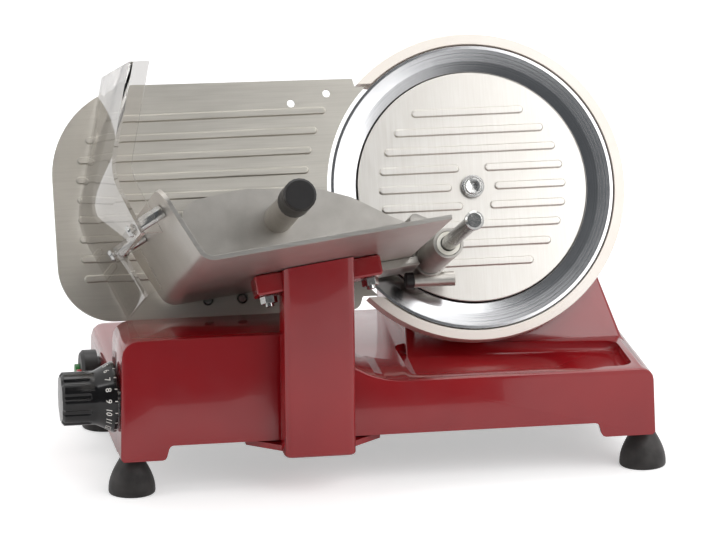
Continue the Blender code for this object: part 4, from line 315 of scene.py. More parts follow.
def make_finishes(colours):
    """Every finish of the slicer under its own name."""
    made = {
        "red_enamel": enamel("enamel_red_baked", colours.enamel, "#84131A", 0.15, 0.45),
        "cream_enamel": enamel("enamel_cream_sprayed", colours.ring, "#EFE7DD", 0.34, 0.2),
        "gauge_sheet": satin_aluminium(
            "aluminium_anodised_gauge", colours.gauge, "#BDB9B1", 0.46, (0.03, 1, 1), 0.002
        ),
        "cover_sheet": satin_aluminium(
            "aluminium_anodised_cover", colours.cover, "#D2CEC8", 0.42, (1, 0.04, 0.04), 0.002
        ),
        "tray_sheet": satin_aluminium(
            "aluminium_brushed_tray", colours.tray, "#C6C1BA", 0.36, (0.04, 1, 1), 0.003
        ),
        "cast_aluminium": cast_aluminium("aluminium_die_cast_blasted", colours.casting, "#B4B0AA", 0.40),
        "bronze": cast_aluminium("bronze_sintered", linear("#B48A55"), "#94703F", 0.34),
        "polished_steel": ground_steel("steel_blade_ground", colours.blade, "#AFAFB1", 0.17, 0.7, 0.0015),
        "bright_steel": turned_steel("steel_bright_turned", colours.steel, "#A9A9A7", 0.20),
        "black_gloss": moulded("abs_black_gloss_moulded", colours.knob, "#0B0A0A", 0.14, 2.4, 0.006),
        # The acrylic's second colour is painted grey shade for its glancing edges
        "clear_plastic": clear_acrylic("acrylic_clear_moulded", linear("#FBF9F7"), "#C9C2BA"),
    }
    for finish, name, colour, *rest in MOULDINGS:
        made[finish] = moulded(name, linear(colour), *rest)
    return made


FINISH = {}


# Pieces


def put_piece(name, mesh, finish, body, node=(), sharp=35.0):
    """Makes a shown piece of a mesh that is already in place, and lets it ride on its body."""
    mesh.shade_smooth()
    mesh.set_sharp_from_angle(angle=radians(sharp))
    mesh.materials.clear()
    mesh.materials.append(FINISH[finish])
    piece = bpy.data.objects.new(name, mesh)
    bpy.context.scene.collection.objects.link(piece)
    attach(piece, body)
    if node:
        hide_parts(*([node] if isinstance(node, str) else node))
    return piece


def mesh_from(bm, name):
    mesh = bpy.data.meshes.new(name)
    bm.to_mesh(mesh)
    bm.free()
    return mesh


def eased(piece, width, segments=2, angle=32.0):
    """Breaks the sharp edges, as deburring or a coat of enamel does, so that they catch the light."""
    bevel = piece.modifiers.new("eased_edges", "BEVEL")
    bevel.width = width
    bevel.segments = segments
    bevel.limit_method = "ANGLE"
    bevel.angle_limit = radians(angle)
    bevel.harden_normals = True
    bevel.miter_outer = "MITER_ARC"
    return piece


def joined_facets(node):
    """A node's shape with its facets sewn together and its flat faces made whole."""
    bm = bmesh.new()
    bm.from_mesh(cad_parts[node].data)
    bmesh.ops.remove_doubles(bm, verts=bm.verts, dist=0.002 * MM)
    bmesh.ops.dissolve_limit(bm, angle_limit=radians(0.6), verts=bm.verts, edges=bm.edges)
    return bm


def arc(x, y, radius, start, end, steps):
    """Points on an arc between two angles in radians."""
    turns = [start + (end - start) * i / steps for i in range(steps + 1)]
    return [(x + radius * cos(turn), y + radius * sin(turn)) for turn in turns]


def circle(x, y, radius, steps):
    return arc(x, y, radius, 0, 2 * pi, steps)[:-1]


def rounded(corners, steps=8, closed=True):
    """An outline or a profile whose corners are given as x, y and radius."""
    outline = []
    for i, (x, y, radius) in enumerate(corners):
        here = Vector((x, y))
        if radius == 0 or (not closed and i in (0, len(corners) - 1)):
            outline.append((x, y))
            continue
        before = (Vector(corners[i - 1][:2]) - here).normalized()
        after = (Vector(corners[(i + 1) % len(corners)][:2]) - here).normalized()
        half = acos(max(-1.0, min(1.0, before.dot(after)))) / 2
        centre = here + (before + after).normalized() * (radius / sin(half))
        first = here + before * (radius / tan(half)) - centre
        last = here + after * (radius / tan(half)) - centre
        start = atan2(first.y, first.x)
        sweep = (atan2(last.y, last.x) - start + pi) % (2 * pi) - pi
        outline += arc(*centre, radius, start, start + sweep, steps)
    return outline


def turned(profile, steps=96, shape=None):
    """A round mesh about its z axis from radii and heights; shape may change a radius round the turn."""
    bm = bmesh.new()
    rings = []
    for radius, height in profile:
        if radius < 1e-6:
            rings.append([bm.verts.new((0, 0, height))] * steps)
            continue
        ring = []
        for i in range(steps):
            turn = 2 * pi * i / steps
            reach = shape(radius, height, turn) if shape else radius
            ring.append(bm.verts.new((reach * cos(turn), reach * sin(turn), height)))
        rings.append(ring)
    pairs = list(zip(rings, rings[1:]))
    if profile[0][0] > 1e-6 and profile[-1][0] > 1e-6:
        pairs.append((rings[-1], rings[0]))
    for first, second in pairs:
        for i in range(steps):
            corners = (first[i - 1], first[i], second[i], second[i - 1])
            bm.faces.new(list(dict.fromkeys(corners)))
    bmesh.ops.recalc_face_normals(bm, faces=bm.faces[:])
    return bm


def joined(bm, *others):
    """Adds meshes to the first one."""
    for other in others:
        mesh = mesh_from(other, "joined")
        bm.from_mesh(mesh)
        bpy.data.meshes.remove(mesh)
    return bm


def hexagon(turn, radius):
    """The reach of a hexagon's side at this turn, for a corner radius."""
    return radius * cos(pi / 6) / cos((turn % (pi / 3)) - pi / 6)


def filled(loops, inside):
    """Triangles between closed loops of points, kept where the test says that there is material."""
    points, edges = [], []
    for loop in loops:
        start = len(points)
        points += [Vector(point) for point in loop]
        edges += [(start + i, start + (i + 1) % len(loop)) for i in range(len(loop))]
    verts, _, faces, _, _, _ = delaunay_2d_cdt(points, edges, [], 1, 1e-8)
    kept = []
    for face in faces:
        middle = sum((verts[i] for i in face), Vector((0, 0))) / len(face)
        if inside(middle):
            kept.append(face)
    return verts, kept


def pressed_plate(outline, holes, ribs, thickness, width, height):
    """A sheet with smooth raised ribs on its front; a rib is its two ends and its y."""
    half = width / 2

    def rise(point):
        best = 0.0
        for x0, x1, y in ribs:
            nearest = min(max(point[0], x0 + half), x1 - half)
            share = (half - hypot(point[0] - nearest, point[1] - y)) / (half * RIB_ROWS[-1])
            share = min(1.0, max(0.0, share))
            best = max(best, height * share * share * (3 - 2 * share))
        return best

    def solid(point):
        return all(hypot(point[0] - x, point[1] - y) > radius for x, y, radius in holes)

    rims = [outline] + [circle(x, y, radius, 28) for x, y, radius in holes]
    rows = []
    for x0, x1, y in ribs:
        for share in RIB_ROWS:
            reach = half * (1 - share) + 1e-6
            right = arc(x1 - half, y, reach, -pi / 2, pi / 2, 12)
            left = arc(x0 + half, y, reach, pi / 2, 3 * pi / 2, 12)
            rows.append(right + left)
    bm = bmesh.new()
    rim_verts = []
    for loops, level in ((rims + rows, 0.0), (rims, -thickness)):
        verts, faces = filled(loops, solid)
        made = [bm.verts.new((v.x, v.y, level + (rise(v) if level == 0 else 0))) for v in verts]
        for face in faces:
            bm.faces.new([made[i] for i in (face if level == 0 else reversed(face))])
        rim_verts.append({(round(v.x * 1e6), round(v.y * 1e6)): made[i] for i, v in enumerate(verts)})
    for rim in rims:
        keys = [(round(x * 1e6), round(y * 1e6)) for x, y in rim]
        for first, last in zip(keys, keys[1:] + keys[:1]):
            upper = rim_verts[0][first], rim_verts[0][last]
            lower = rim_verts[1][first], rim_verts[1][last]
            bm.faces.new((upper[0], lower[0], lower[1], upper[1]))
    loose = [vert for vert in bm.verts if not vert.link_faces]
    bmesh.ops.delete(bm, geom=loose, context="VERTS")
    bmesh.ops.recalc_face_normals(bm, faces=bm.faces[:])
    return bm


def shown(name, bm, place, finish, body, node=(), sharp=35.0):
    """Puts a mesh that was made about its own origin at its place on the slicer."""
    bm.transform(place)
    return put_piece(name, mesh_from(bm, name), finish, body, node, sharp)


def even_normals(piece):
    """Lets the broad faces decide the shading, so that flat sheet stays flat beside its ribs."""
    weighted = piece.modifiers.new("even_normals", "WEIGHTED_NORMAL")
    weighted.keep_sharp = True
    weighted.weight = 90


def dressed(node, finish, body, edge=0.3 * MM):
    """A node's own shape, smooth and with eased edges, in its real finish."""
    name = f"{node}_finished"
    piece = put_piece(name, mesh_from(joined_facets(node), name), finish, body, node)
    if edge:
        eased(piece, edge)


# Shapes that the slicer's own sizes give


COVER_RADIUS = 79 * MM
COVER_RIB_PITCH = 13 * MM
COVER_RIB_REACH = 65 * MM
COVER_MIDDLE_GAPS = {-1: (-7, 11), 0: (-14, 15), 1: (-8, 9)}
RIB_HEIGHT = 1.2 * MM
# How far in from a rib's foot its rows of points lie, as shares of half its width; the last is its top
RIB_ROWS = (0.0, 0.06, 0.12, 0.19, 0.26, 0.32, 0.38)
RING_INNER = 98.7 * MM
RING_OUTER = 105.5 * MM
RING_WEB = 86 * MM
RING_DEPTH = 16 * MM
RING_FRONT = 0.8 * MM
RING_WALL = 3 * MM
RING_STUDS = (-50, -90, -122)
GAUGE_LEFT = -287 * MM
GAUGE_TOP = 79.5 * MM
GAUGE_BOTTOM = -80 * MM
GAUGE_ARC = 100.1 * MM
GAUGE_CORNERS = ((17.5 * MM, 62 * MM), (-42 * MM, 38 * MM))
GAUGE_RIB_INSET = 15.5 * MM
GAUGE_RIB_PITCH = 13.5 * MM
GAUGE_RIB_TOP = 57.3 * MM
GAUGE_RIB_CLEAR = 113 * MM
BOTTOM_SCREWS = ((-226, 79.5), (-226, 6), (80, -30), (80, 79.5))
BOTTOM_SCREW_LEVEL = 27.8 * MM
MARK_PROUD = 0.03 * MM
BUTTON_MARK_HEIGHT = 4.0 * MM
GAUGE_HOLES = ((-121.0, 63.2, 2.75), (-96.2, 69.0, 2.75), (-186.4, -68.8, 4), (-163.0, -68.8, 4))
KNOB_LENGTH = 36.5 * MM
KNOB_GRIP = 18 * MM
KNOB_SKIRT = 23.75 * MM
KNOB_FLUTES = 10
FLUTE_END = 20 * MM
FLUTE_RADIUS = 3.4 * MM
SKIRT_START = 24 * MM
BAND_START = 34.5 * MM
# The dial's numbers stand 20 degrees apart, with 9 turned 8 degrees up from straight to the front
DIAL_NUMBERS = 17
DIAL_STEP = 20
DIAL_MIDDLE = 9
DIAL_TURN = 8
KNOB_FRAME = (
    BASE_FRAME
    @ Matrix.Translation((-257.6 * MM - KNOB_LENGTH, -77.2 * MM, 64 * MM))
    @ Matrix(((0, 0, 1, 0), (0, -1, 0, 0), (1, 0, 0, 0), (0, 0, 0, 1)))
)


def blade_profile():
    """The blade's section: a ground bevel outside, a smooth hollow inside it, and a flat back."""
    corners = (
        (97.5, -0.2, 0),
        (97.5, -0.5, 0),
        (92.0, -3.4, 1.0),
        (80.5, -6.8, 4.0),
        (71.5, -12.0, 1.0),
        (14.0, -12.0, 0),
        (14.0, -9.2, 0),
        (70.0, -9.2, 1.0),
        (78.0, -4.2, 1.0),
        (80.0, -2.6, 0.8),
        (87.0, -1.2, 12.0),
        (95.5, -0.2, 0.3),
    )
    return [(x * MM, y * MM) for x, y in rounded(corners, 6)]


def blade_cover_shape():
    """The pressed disc in the middle of the blade, with nine rows of ribs and a boss behind."""
    ribs = []
    for row in range(-4, 5):
        y = row * COVER_RIB_PITCH
        reach = sqrt(COVER_RIB_REACH**2 - y**2)
        left, right = COVER_MIDDLE_GAPS.get(row, (None, None))
        if left is None:
            ribs.append((-reach, reach, y))
        else:
            ribs += [(-reach, left * MM, y), (right * MM, reach, y)]
    bore = 2.5 * MM
    bm = pressed_plate(circle(0, 0, COVER_RADIUS, 180), [(0, 0, bore)], ribs, 2.5 * MM, 6.0 * MM, RIB_HEIGHT)
    boss = turned(((bore, -2.4 * MM), (9 * MM, -2.4 * MM), (9 * MM, -8.7 * MM), (bore, -8.7 * MM)), 64)
    return joined(bm, boss)


def cover_screw_profile():
    """A low round head with a ring groove and a hexagon socket."""
    corners = (
        (0, 1.0, 0),
        (3.1, 1.0, 0.1),
        (3.1, 3.2, 0.25),
        (5.2, 3.4, 0.4),
        (5.6, 2.9, 0.2),
        (6.1, 2.9, 0.2),
        (6.5, 3.3, 0.3),
        (7.9, 2.6, 0.4),
        (7.9, 0.3, 0),
        (1.9, 0.3, 0),
        (1.9, -24.0, 0),
        (0, -24.0, 0),
    )
    return [(x * MM, y * MM) for x, y in rounded(corners, 4, closed=False)]


def cover_screw_socket(radius, height, turn):
    """Makes the socket's wall six-sided and leaves the rest round."""
    return hexagon(turn, radius) if radius < 3.4 * MM and height > 0.9 * MM else radius


def ring_guard_shape():
    """A channel round the blade, its ends cut level where the gauge plate meets it, and its three studs."""
    back = RING_FRONT - RING_DEPTH
    section = (
        (RING_INNER, RING_FRONT),
        (RING_OUTER, RING_FRONT),
        (RING_OUTER, back),
        (RING_WEB, back),
        (RING_WEB, back + RING_WALL),
        (RING_OUTER - RING_WALL, back + RING_WALL),
        (RING_OUTER - RING_WALL, RING_FRONT - 2.2 * MM),
        (RING_INNER, RING_FRONT - 2.2 * MM),
    )
    high_end, low_end, side_end = 74.2 * MM, 72.5 * MM, 50 * MM
    steps = 160
    bm = bmesh.new()
    rows = []
    for radius, depth in section:
        side = pi - acos(side_end / radius)
        start = -max(side, pi - asin(low_end / radius))
        end = max(side, pi - asin(high_end / radius))
        turns = [start + (end - start) * i / steps for i in range(steps + 1)]
        rows.append([bm.verts.new((radius * cos(t), radius * sin(t), depth)) for t in turns])
    for near, far in zip(rows, rows[1:] + rows[:1]):
        for i in range(steps):
            bm.faces.new((near[i], near[i + 1], far[i + 1], far[i]))
    for i in (0, steps):
        bm.faces.new([row[i] for row in rows])
    bmesh.ops.recalc_face_normals(bm, faces=bm.faces[:])
    middle = (RING_WEB + RING_OUTER) / 2 - 1 * MM
    studs = []
    for angle in RING_STUDS:
        stud = turned(
            (
                (0, back + 2 * MM),
                (4.5 * MM, back + 2 * MM),
                (4.5 * MM, -21.7 * MM),
                (0, -21.7 * MM),
            ),
            48,
        )
        turn = radians(angle)
        stud.transform(Matrix.Translation((middle * cos(turn), middle * sin(turn), 0)))
        studs.append(stud)
    return joined(bm, *studs)


def gauge_plate_shape():
    """The tall sheet left of the blade, with nine pressed ribs and its screw holes."""
    notch = arc(0, 0, GAUGE_ARC, radians(225.4), radians(133.7), 64)
    (_, top_radius), (_, bottom_radius) = GAUGE_CORNERS
    outline = rounded(
        (
            (GAUGE_LEFT, GAUGE_BOTTOM, bottom_radius),
            (-83.5 * MM, GAUGE_BOTTOM, 6 * MM),
            (-80.6 * MM, -71.2 * MM, 2 * MM),
            *[(x, y, 0) for x, y in notch],
            (-76.5 * MM, 72.8 * MM, 0),
            (-77.9 * MM, GAUGE_TOP - 1.2 * MM, 1 * MM),
            (GAUGE_LEFT, GAUGE_TOP + 1.8 * MM, top_radius),
        ),
        24,
    )
    ribs = []
    for row in range(9):
        y = GAUGE_RIB_TOP - GAUGE_RIB_PITCH * row
        ribs.append((gauge_rib_left(y), -sqrt(GAUGE_RIB_CLEAR**2 - y**2), y))
    holes = [(x * MM, y * MM, radius * MM) for x, y, radius in GAUGE_HOLES]
    return pressed_plate(outline, holes, ribs, 3 * MM, 5.5 * MM, RIB_HEIGHT)


def gauge_rib_left(y):
    """The left end of a rib, a set distance inside the plate's rounded left edge."""
    edge = GAUGE_LEFT + GAUGE_RIB_INSET
    for middle, radius in GAUGE_CORNERS:
        inside = radius - GAUGE_RIB_INSET
        beyond = (y - middle) if middle > 0 else (middle - y)
        if beyond > 0:
            edge += inside - sqrt(max(inside**2 - beyond**2, 0))
    return edge


def knob_profile():
    """The knob from its domed end to the dial skirt beside the base."""
    corners = (
        (0, 0, 0),
        (16.0 * MM, 0.3 * MM, 1 * MM),
        (KNOB_GRIP, 2 * MM, 1 * MM),
        (KNOB_GRIP, SKIRT_START - 1.5 * MM, 1.2 * MM),
        (KNOB_GRIP + 0.5 * MM, SKIRT_START, 0.6 * MM),
        (KNOB_SKIRT, BAND_START, 0.3 * MM),
        (KNOB_SKIRT, KNOB_LENGTH, 0.3 * MM),
        (3.8 * MM, KNOB_LENGTH, 0),
        (3.8 * MM, 9.5 * MM, 0),
        (0, 9.5 * MM, 0),
    )
    profile = []
    for radius, height in rounded(corners, 5, closed=False):
        if profile and profile[-1][0] > KNOB_GRIP - 1e-6 and height > FLUTE_END > profile[-1][1]:
            profile += [(KNOB_GRIP, level * MM) for level in (17.5, 18.2, 18.8, 19.3, 19.7, 20.0)]
        profile.append((radius, height))
    return profile


def knob_flutes(radius, height, turn):
    """Ten finger grooves along the grip that run out before the skirt."""
    if height > FLUTE_END or radius < 15 * MM:
        return radius
    half_pitch = pi / KNOB_FLUTES
    away = (turn + half_pitch) % (2 * half_pitch) - half_pitch
    far = KNOB_GRIP + 2.2 * MM
    deep = FLUTE_RADIUS**2 - (far * sin(away)) ** 2
    if deep <= 0:
        return radius
    cut = far * cos(away) - sqrt(deep)
    fade = min(1.0, (FLUTE_END - height) / (2.5 * MM))
    return radius - max(0.0, KNOB_GRIP - cut) * sqrt(1 - (1 - fade) ** 2)


def glyphs(words, height):
    """A flat mesh of plain lettering, centred, as tall as asked."""
    curve = bpy.data.curves.new("lettering", "FONT")
    curve.body = words
    curve.size = height / 0.72
    curve.align_x = "CENTER"
    curve.align_y = "CENTER"
    curve.extrude = 0.02 * MM
    curve.resolution_u = 6
    writing = bpy.data.objects.new("lettering", curve)
    bpy.context.scene.collection.objects.link(writing)
    depsgraph = bpy.context.evaluated_depsgraph_get()
    mesh = bpy.data.meshes.new_from_object(writing.evaluated_get(depsgraph))
    bm = bmesh.new()
    bm.from_mesh(mesh)
    bpy.data.objects.remove(writing)
    bpy.data.curves.remove(curve)
    bpy.data.meshes.remove(mesh)
    return bm


def dial_marks(numeral_height, tick_length):
    """Numbers 0 to 16 and their ticks, wrapped on the skirt, in the knob's own frame."""
    slope = (KNOB_SKIRT - KNOB_GRIP - 0.5 * MM) / (BAND_START - SKIRT_START)
    lean = sqrt(1 + slope**2)
    middle = KNOB_LENGTH - 6.0 * MM
    bm = bmesh.new()
    for number in range(DIAL_NUMBERS):
        angle = radians(DIAL_TURN + DIAL_STEP * (DIAL_MIDDLE - number))
        figure = glyphs(str(number), numeral_height)
        for vert in figure.verts:
            across, up, out = vert.co
            level = middle + up / lean
            radius = KNOB_SKIRT - (BAND_START - level) * slope + (out + MARK_PROUD) / lean
            level -= (out + MARK_PROUD) * slope / lean
            turn = angle - across / radius
            vert.co = (radius * sin(turn), radius * cos(turn), level)
        bm = joined(bm, figure)
        tick = bmesh.new()
        corners = []
        for side in (-1, 1):
            for level in (KNOB_LENGTH - 0.1 * MM, KNOB_LENGTH - 0.1 * MM - tick_length):
                for radius in (KNOB_SKIRT - 0.1 * MM, KNOB_SKIRT + MARK_PROUD):
                    turn = angle + side * 0.28 * MM / KNOB_SKIRT
                    corners.append(tick.verts.new((radius * sin(turn), radius * cos(turn), level)))
        bmesh.ops.convex_hull(tick, input=corners)
        bm = joined(bm, tick)
    return bm


def small_screw(name, place, head, height, shank, length, body):
    """A round-headed screw with a hexagon socket; its head's underside is at its place."""
    socket = head * 0.45
    corners = (
        (0, height * 0.35, 0),
        (socket, height * 0.35, 0),
        (socket, height, head * 0.04),
        (head, height, height * 0.45),
        (head, 0, 0),
        (shank, 0, 0),
        (shank, -length, 0),
        (0, -length, 0),
    )
    profile = rounded(corners, 4, closed=False)

    def six_sided(radius, level, turn):
        return hexagon(turn, radius) if radius < socket * 1.06 and level > height * 0.3 else radius

    shown(name, turned(profile, 48, six_sided), place, "bright_steel", body)


def foot_profile():
    """A rubber bell foot that flares to a rounded rim on the table."""
    height, neck, flare, steps = 25.2, 7.2, 8.6, 12
    bell = []
    for i in range(steps + 1):
        share = i / steps
        bell.append((neck + flare * sin(pi / 2 * share), height * (1 - share * 0.90)))
    points = ((0, height + 9), (2.5, height + 9), (2.5, height), (6.6, height), (7.0, height - 0.1))
    rim = ((15.8, 1.6), (15.6, 0.7), (15.1, 0.2), (14.3, 0), (0, 0))
    return [(x * MM, y * MM) for x, y in (*points, *bell, *rim)]


# Settings


def colour_setting(name, what, code):
    """A colour for the panel, given as an sRGB hex value."""
    return bpy.props.FloatVectorProperty(
        name=name, description=f"Colour of {what}", subtype="COLOR", min=0, max=1, default=linear(code)
    )


class SlicerColours(bpy.types.PropertyGroup):
    """Colours of the slicer's finishes."""

    enamel: colour_setting("Red enamel", "the base and the carriage arm", "#8F161B")
    ring: colour_setting("Cream enamel", "the ring guard round the blade", "#F3EDE5")
    gauge: colour_setting("Gauge plate", "the gauge plate", "#C6C2BA")
    cover: colour_setting("Blade cover", "the blade cover", "#D9D6D1")
    tray: colour_setting("Product tray", "the product tray", "#D2CEC8")
    casting: colour_setting("Castings", "the bare castings", "#C3BFB9")
    blade: colour_setting("Blade", "the ground blade", "#C0C0C1")
    steel: colour_setting("Bright steel", "rods and screws", "#C9C8C6")
    knob: colour_setting("Knob", "the index knob", "#141213")


class SlicerSizes(bpy.types.PropertyGroup):
    """Sizes of the dial's marks."""

    numeral_height: bpy.props.FloatProperty(
        name="Numeral height", description="Height of the dial's numbers", unit="LENGTH", default=4.2 * MM
    )
    tick_length: bpy.props.FloatProperty(
        name="Tick length", description="Length of the dial's ticks", unit="LENGTH", default=1.8 * MM
    )


class SlicerStudio(bpy.types.PropertyGroup):
    """Camera, floor and light."""

    lens: bpy.props.FloatProperty(
        name="Lens", description="Focal length of the camera in millimetres", default=295.84
    )
    distance: bpy.props.FloatProperty(
        name="Camera distance", description="From the camera to its target", unit="LENGTH", default=4.0209
    )
    ambient: bpy.props.FloatProperty(
        name="Ambient light", description="Strength of the studio's even light", default=0.62
    )
    key: bpy.props.FloatProperty(
        name="Key light", description="Power of the main softbox in watts", default=24.0
    )
    floor: bpy.props.FloatProperty(
        name="Floor size", description="Width of the pale floor", unit="LENGTH", default=8.0
    )


# Operators


class SLICER_OT_finishes(bpy.types.Operator):
    """Makes the slicer's materials"""

    bl_idname = "slicer.finishes"
    bl_label = "Finishes"

    def execute(self, context):
        FINISH.update(make_finishes(context.scene.slicer_colours))
        return {"FINISHED"}


class SLICER_OT_base(bpy.types.Operator):
    """Dresses the base casting, its feet, bottom plate, small screws and gland"""

    bl_idname = "slicer.base"
    bl_label = "Base"

    def execute(self, context):
        dressed("base_casting", "red_enamel", "frame", edge=0)
        for end in ("front_left", "front_right", "rear_left", "rear_right"):
            foot = f"foot_{end}"
            low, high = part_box(foot)
            middle = Matrix.Translation(((low[0] + high[0]) / 2, (low[1] + high[1]) / 2, 0))
            shown(f"{foot}_moulded", turned(foot_profile(), 72), middle, "rubber", "frame", foot)
        dressed("bottom_plate", "bright_steel", "frame")
        below = Matrix.Rotation(pi, 4, "X")
        for i, (x, y) in enumerate(BOTTOM_SCREWS):
            place = BASE_FRAME @ Matrix.Translation((x * MM, y * MM, BOTTOM_SCREW_LEVEL)) @ below
            small_screw(f"bottom_plate_screw_{i + 1}", place, 3.8 * MM, 2.0 * MM, 1.9 * MM, 5 * MM, "frame")
        dressed("cord_gland", "black_plastic", "frame")
        return {"FINISHED"}


class SLICER_OT_blade(bpy.types.Operator):
    """Dresses the blade, its cover, ring guard, hub and axle"""

    bl_idname = "slicer.blade"
    bl_label = "Blade group"

    def execute(self, context):
        disc = turned(blade_profile(), 192)
        blade = shown("blade_ground", disc, BLADE_FRAME, "polished_steel", "blade_rotor", "blade")
        blade.data.set_sharp_from_angle(angle=radians(24))
        cover = shown(
            "blade_cover_pressed",
            blade_cover_shape(),
            BLADE_FRAME,
            "cover_sheet",
            "blade_rotor",
            "blade_cover",
        )
        even_normals(eased(cover, 0.5 * MM, angle=60))
        screw = turned(cover_screw_profile(), 96, cover_screw_socket)
        shown("cover_screw_turned", screw, BLADE_FRAME, "bright_steel", "blade_rotor", "cover_screw")
        channel = ring_guard_shape()
        ring = shown("ring_guard_enamelled", channel, BLADE_FRAME, "cream_enamel", "frame", "ring_guard")
        eased(ring, 0.5 * MM, 3)
        dressed("blade_hub", "cast_aluminium", "blade_rotor")
        dressed("hub_bearing_front", "bright_steel", "blade_rotor")
        dressed("hub_bearing_rear", "bright_steel", "blade_rotor")
        dressed("blade_axle", "bright_steel", "frame")
        dressed("slice_deflector", "bright_steel", "frame", edge=0)
        return {"FINISHED"}


class SLICER_OT_drive(bpy.types.Operator):
    """Dresses the motor, its plate, pulley and belt"""

    bl_idname = "slicer.drive"
    bl_label = "Drive"

    def execute(self, context):
        dressed("drive_plate", "bright_steel", "frame")
        dressed("motor", "cast_aluminium", "frame")
        dressed("motor_shaft", "bright_steel", "motor_rotor")
        dressed("motor_pulley", "cast_aluminium", "motor_rotor")
        dressed("drive_belt", "rubber", "frame", edge=0)
        return {"FINISHED"}


class SLICER_OT_gauge(bpy.types.Operator):
    """Dresses the gauge plate, its support, slider and rod"""

    bl_idname = "slicer.gauge"
    bl_label = "Gauge plate"

    def execute(self, context):
        plate = shown(
            "gauge_plate_pressed",
            gauge_plate_shape(),
            BLADE_FRAME,
            "gauge_sheet",
            "gauge",
            "gauge_plate",
        )
        even_normals(eased(plate, 0.5 * MM, angle=60))
        dressed("gauge_support", "cast_aluminium", "gauge", edge=1.0 * MM)
        dressed("gauge_plate_screw_1", "bright_steel", "gauge", edge=0)
        dressed("gauge_plate_screw_2", "bright_steel", "gauge", edge=0)
        dressed("gauge_slider", "cast_aluminium", "gauge")
        dressed("cam_follower_pin", "bright_steel", "gauge")
        dressed("gauge_slide_rod", "bright_steel", "frame")
        return {"FINISHED"}


class SLICER_OT_index(bpy.types.Operator):
    """Dresses the index knob, its shaft, bushing and cam"""

    bl_idname = "slicer.index"
    bl_label = "Index knob"

    def execute(self, context):
        sizes = context.scene.slicer_sizes
        knob = turned(knob_profile(), 240, knob_flutes)
        shown("index_knob_moulded", knob, KNOB_FRAME, "black_gloss", "index", "index_knob", sharp=50)
        marks = dial_marks(sizes.numeral_height, sizes.tick_length)
        shown("dial_numerals", marks, KNOB_FRAME, "ink", "index")
        dressed("index_shaft", "bright_steel", "index")
        dressed("index_cam", "bronze", "index")
        dressed("index_bushing", "bronze", "frame")
        return {"FINISHED"}


class SLICER_OT_switch(bpy.types.Operator):
    """Dresses the switch and its two buttons, and marks them"""

    bl_idname = "slicer.switch"
    bl_label = "Switch"

    def execute(self, context):
        dressed("switch_body", "black_plastic", "frame")
        dressed("start_button", "green_plastic", "start")
        dressed("stop_button", "red_plastic", "stop")
        leftward = Matrix(((0, 0, -1, 0), (-1, 0, 0, 0), (0, 1, 0, 0), (0, 0, 0, 1)))
        for node, mark, body in (("start_button", "I", "start"), ("stop_button", "O", "stop")):
            low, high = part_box(node)
            face = Vector((low[0] - MARK_PROUD, (low[1] + high[1]) / 2, (low[2] + high[2]) / 2))
            place = Matrix.Translation(face) @ leftward
            shown(f"{node}_mark", glyphs(mark, BUTTON_MARK_HEIGHT), place, "ink", body)
        return {"FINISHED"}


class SLICER_OT_carriage(bpy.types.Operator):
    """Dresses the carriage arm, its rods and the cross bar"""

    bl_idname = "slicer.carriage"
    bl_label = "Carriage"

    def execute(self, context):
        dressed("carriage_rod", "bright_steel", "frame")
        dressed("carriage_guide_bar", "bright_steel", "frame")
        dressed("carriage_arm", "red_enamel", "carriage", edge=0.8 * MM)
        dressed("tray_cross_bar", "red_enamel", "carriage", edge=0.6 * MM)
        for side in ("left", "right"):
            dressed(f"arm_bushing_{side}", "bronze", "carriage")
            dressed(f"cross_bar_bolt_{side}", "bright_steel", "carriage", edge=0)
            dressed(f"cross_bar_nut_{side}", "bright_steel", "carriage")
        dressed("roller_pin", "bright_steel", "carriage")
        dressed("guide_roller", "nylon", "roller")
        return {"FINISHED"}


class SLICER_OT_tray(bpy.types.Operator):
    """Dresses the product tray and its clear hand guard"""

    bl_idname = "slicer.tray"
    bl_label = "Tray and hand guard"

    def execute(self, context):
        dressed("product_tray", "tray_sheet", "carriage", edge=0.5 * MM)
        dressed("hand_guard", "clear_plastic", "carriage", edge=0.7 * MM)
        for end in ("rear", "front"):
            dressed(f"guard_spacer_{end}", "bright_steel", "carriage")
            dressed(f"guard_screw_{end}", "bright_steel", "carriage", edge=0)
        return {"FINISHED"}


class SLICER_OT_pusher(bpy.types.Operator):
    """Dresses the pusher, its handle, rod and lug"""

    bl_idname = "slicer.pusher"
    bl_label = "Pusher"

    def execute(self, context):
        dressed("pusher_plate", "cast_aluminium", "pusher", edge=0.4 * MM)
        dressed("pusher_handle", "cast_aluminium", "pusher")
        dressed("handle_cap", "black_plastic", "pusher", edge=0.5 * MM)
        dressed("sleeve_liner", "nylon", "pusher_slider")
        dressed("pusher_rod", "bright_steel", "carriage", edge=0.4 * MM)
        dressed("rod_lug", "cast_aluminium", "carriage", edge=0.5 * MM)
        dressed("lug_screw", "black_plastic", "carriage")
        return {"FINISHED"}


TABLE_GLOW = 0.42
STUDIO_TARGET = Vector((0, 0, 0.15))
# Softboxes: name, share of the key's power, size, bearing from the front, elevation, distance
SOFTBOXES = (
    ("softbox_key", 1.0, (1.9, 1.6), 35, 38, 2.3),
    ("softbox_top", 0.5, (1.8, 1.2), 170, 72, 2.2),
    ("softbox_left", 0.25, (0.5, 1.4), -75, 25, 2.2),
)
CARD_Y = -0.56
CARD_LEFT = -2.4
CARD_RIGHT = 0.24
CARD_TOP = 1.25
CAMERA_BEARING = radians(8.94)
CAMERA_RISE = radians(15)
CAMERA_ROLL = radians(-0.49)
CAMERA_TARGET = BASE_ORIGIN + Vector((-0.07958, 0, 0.1223))


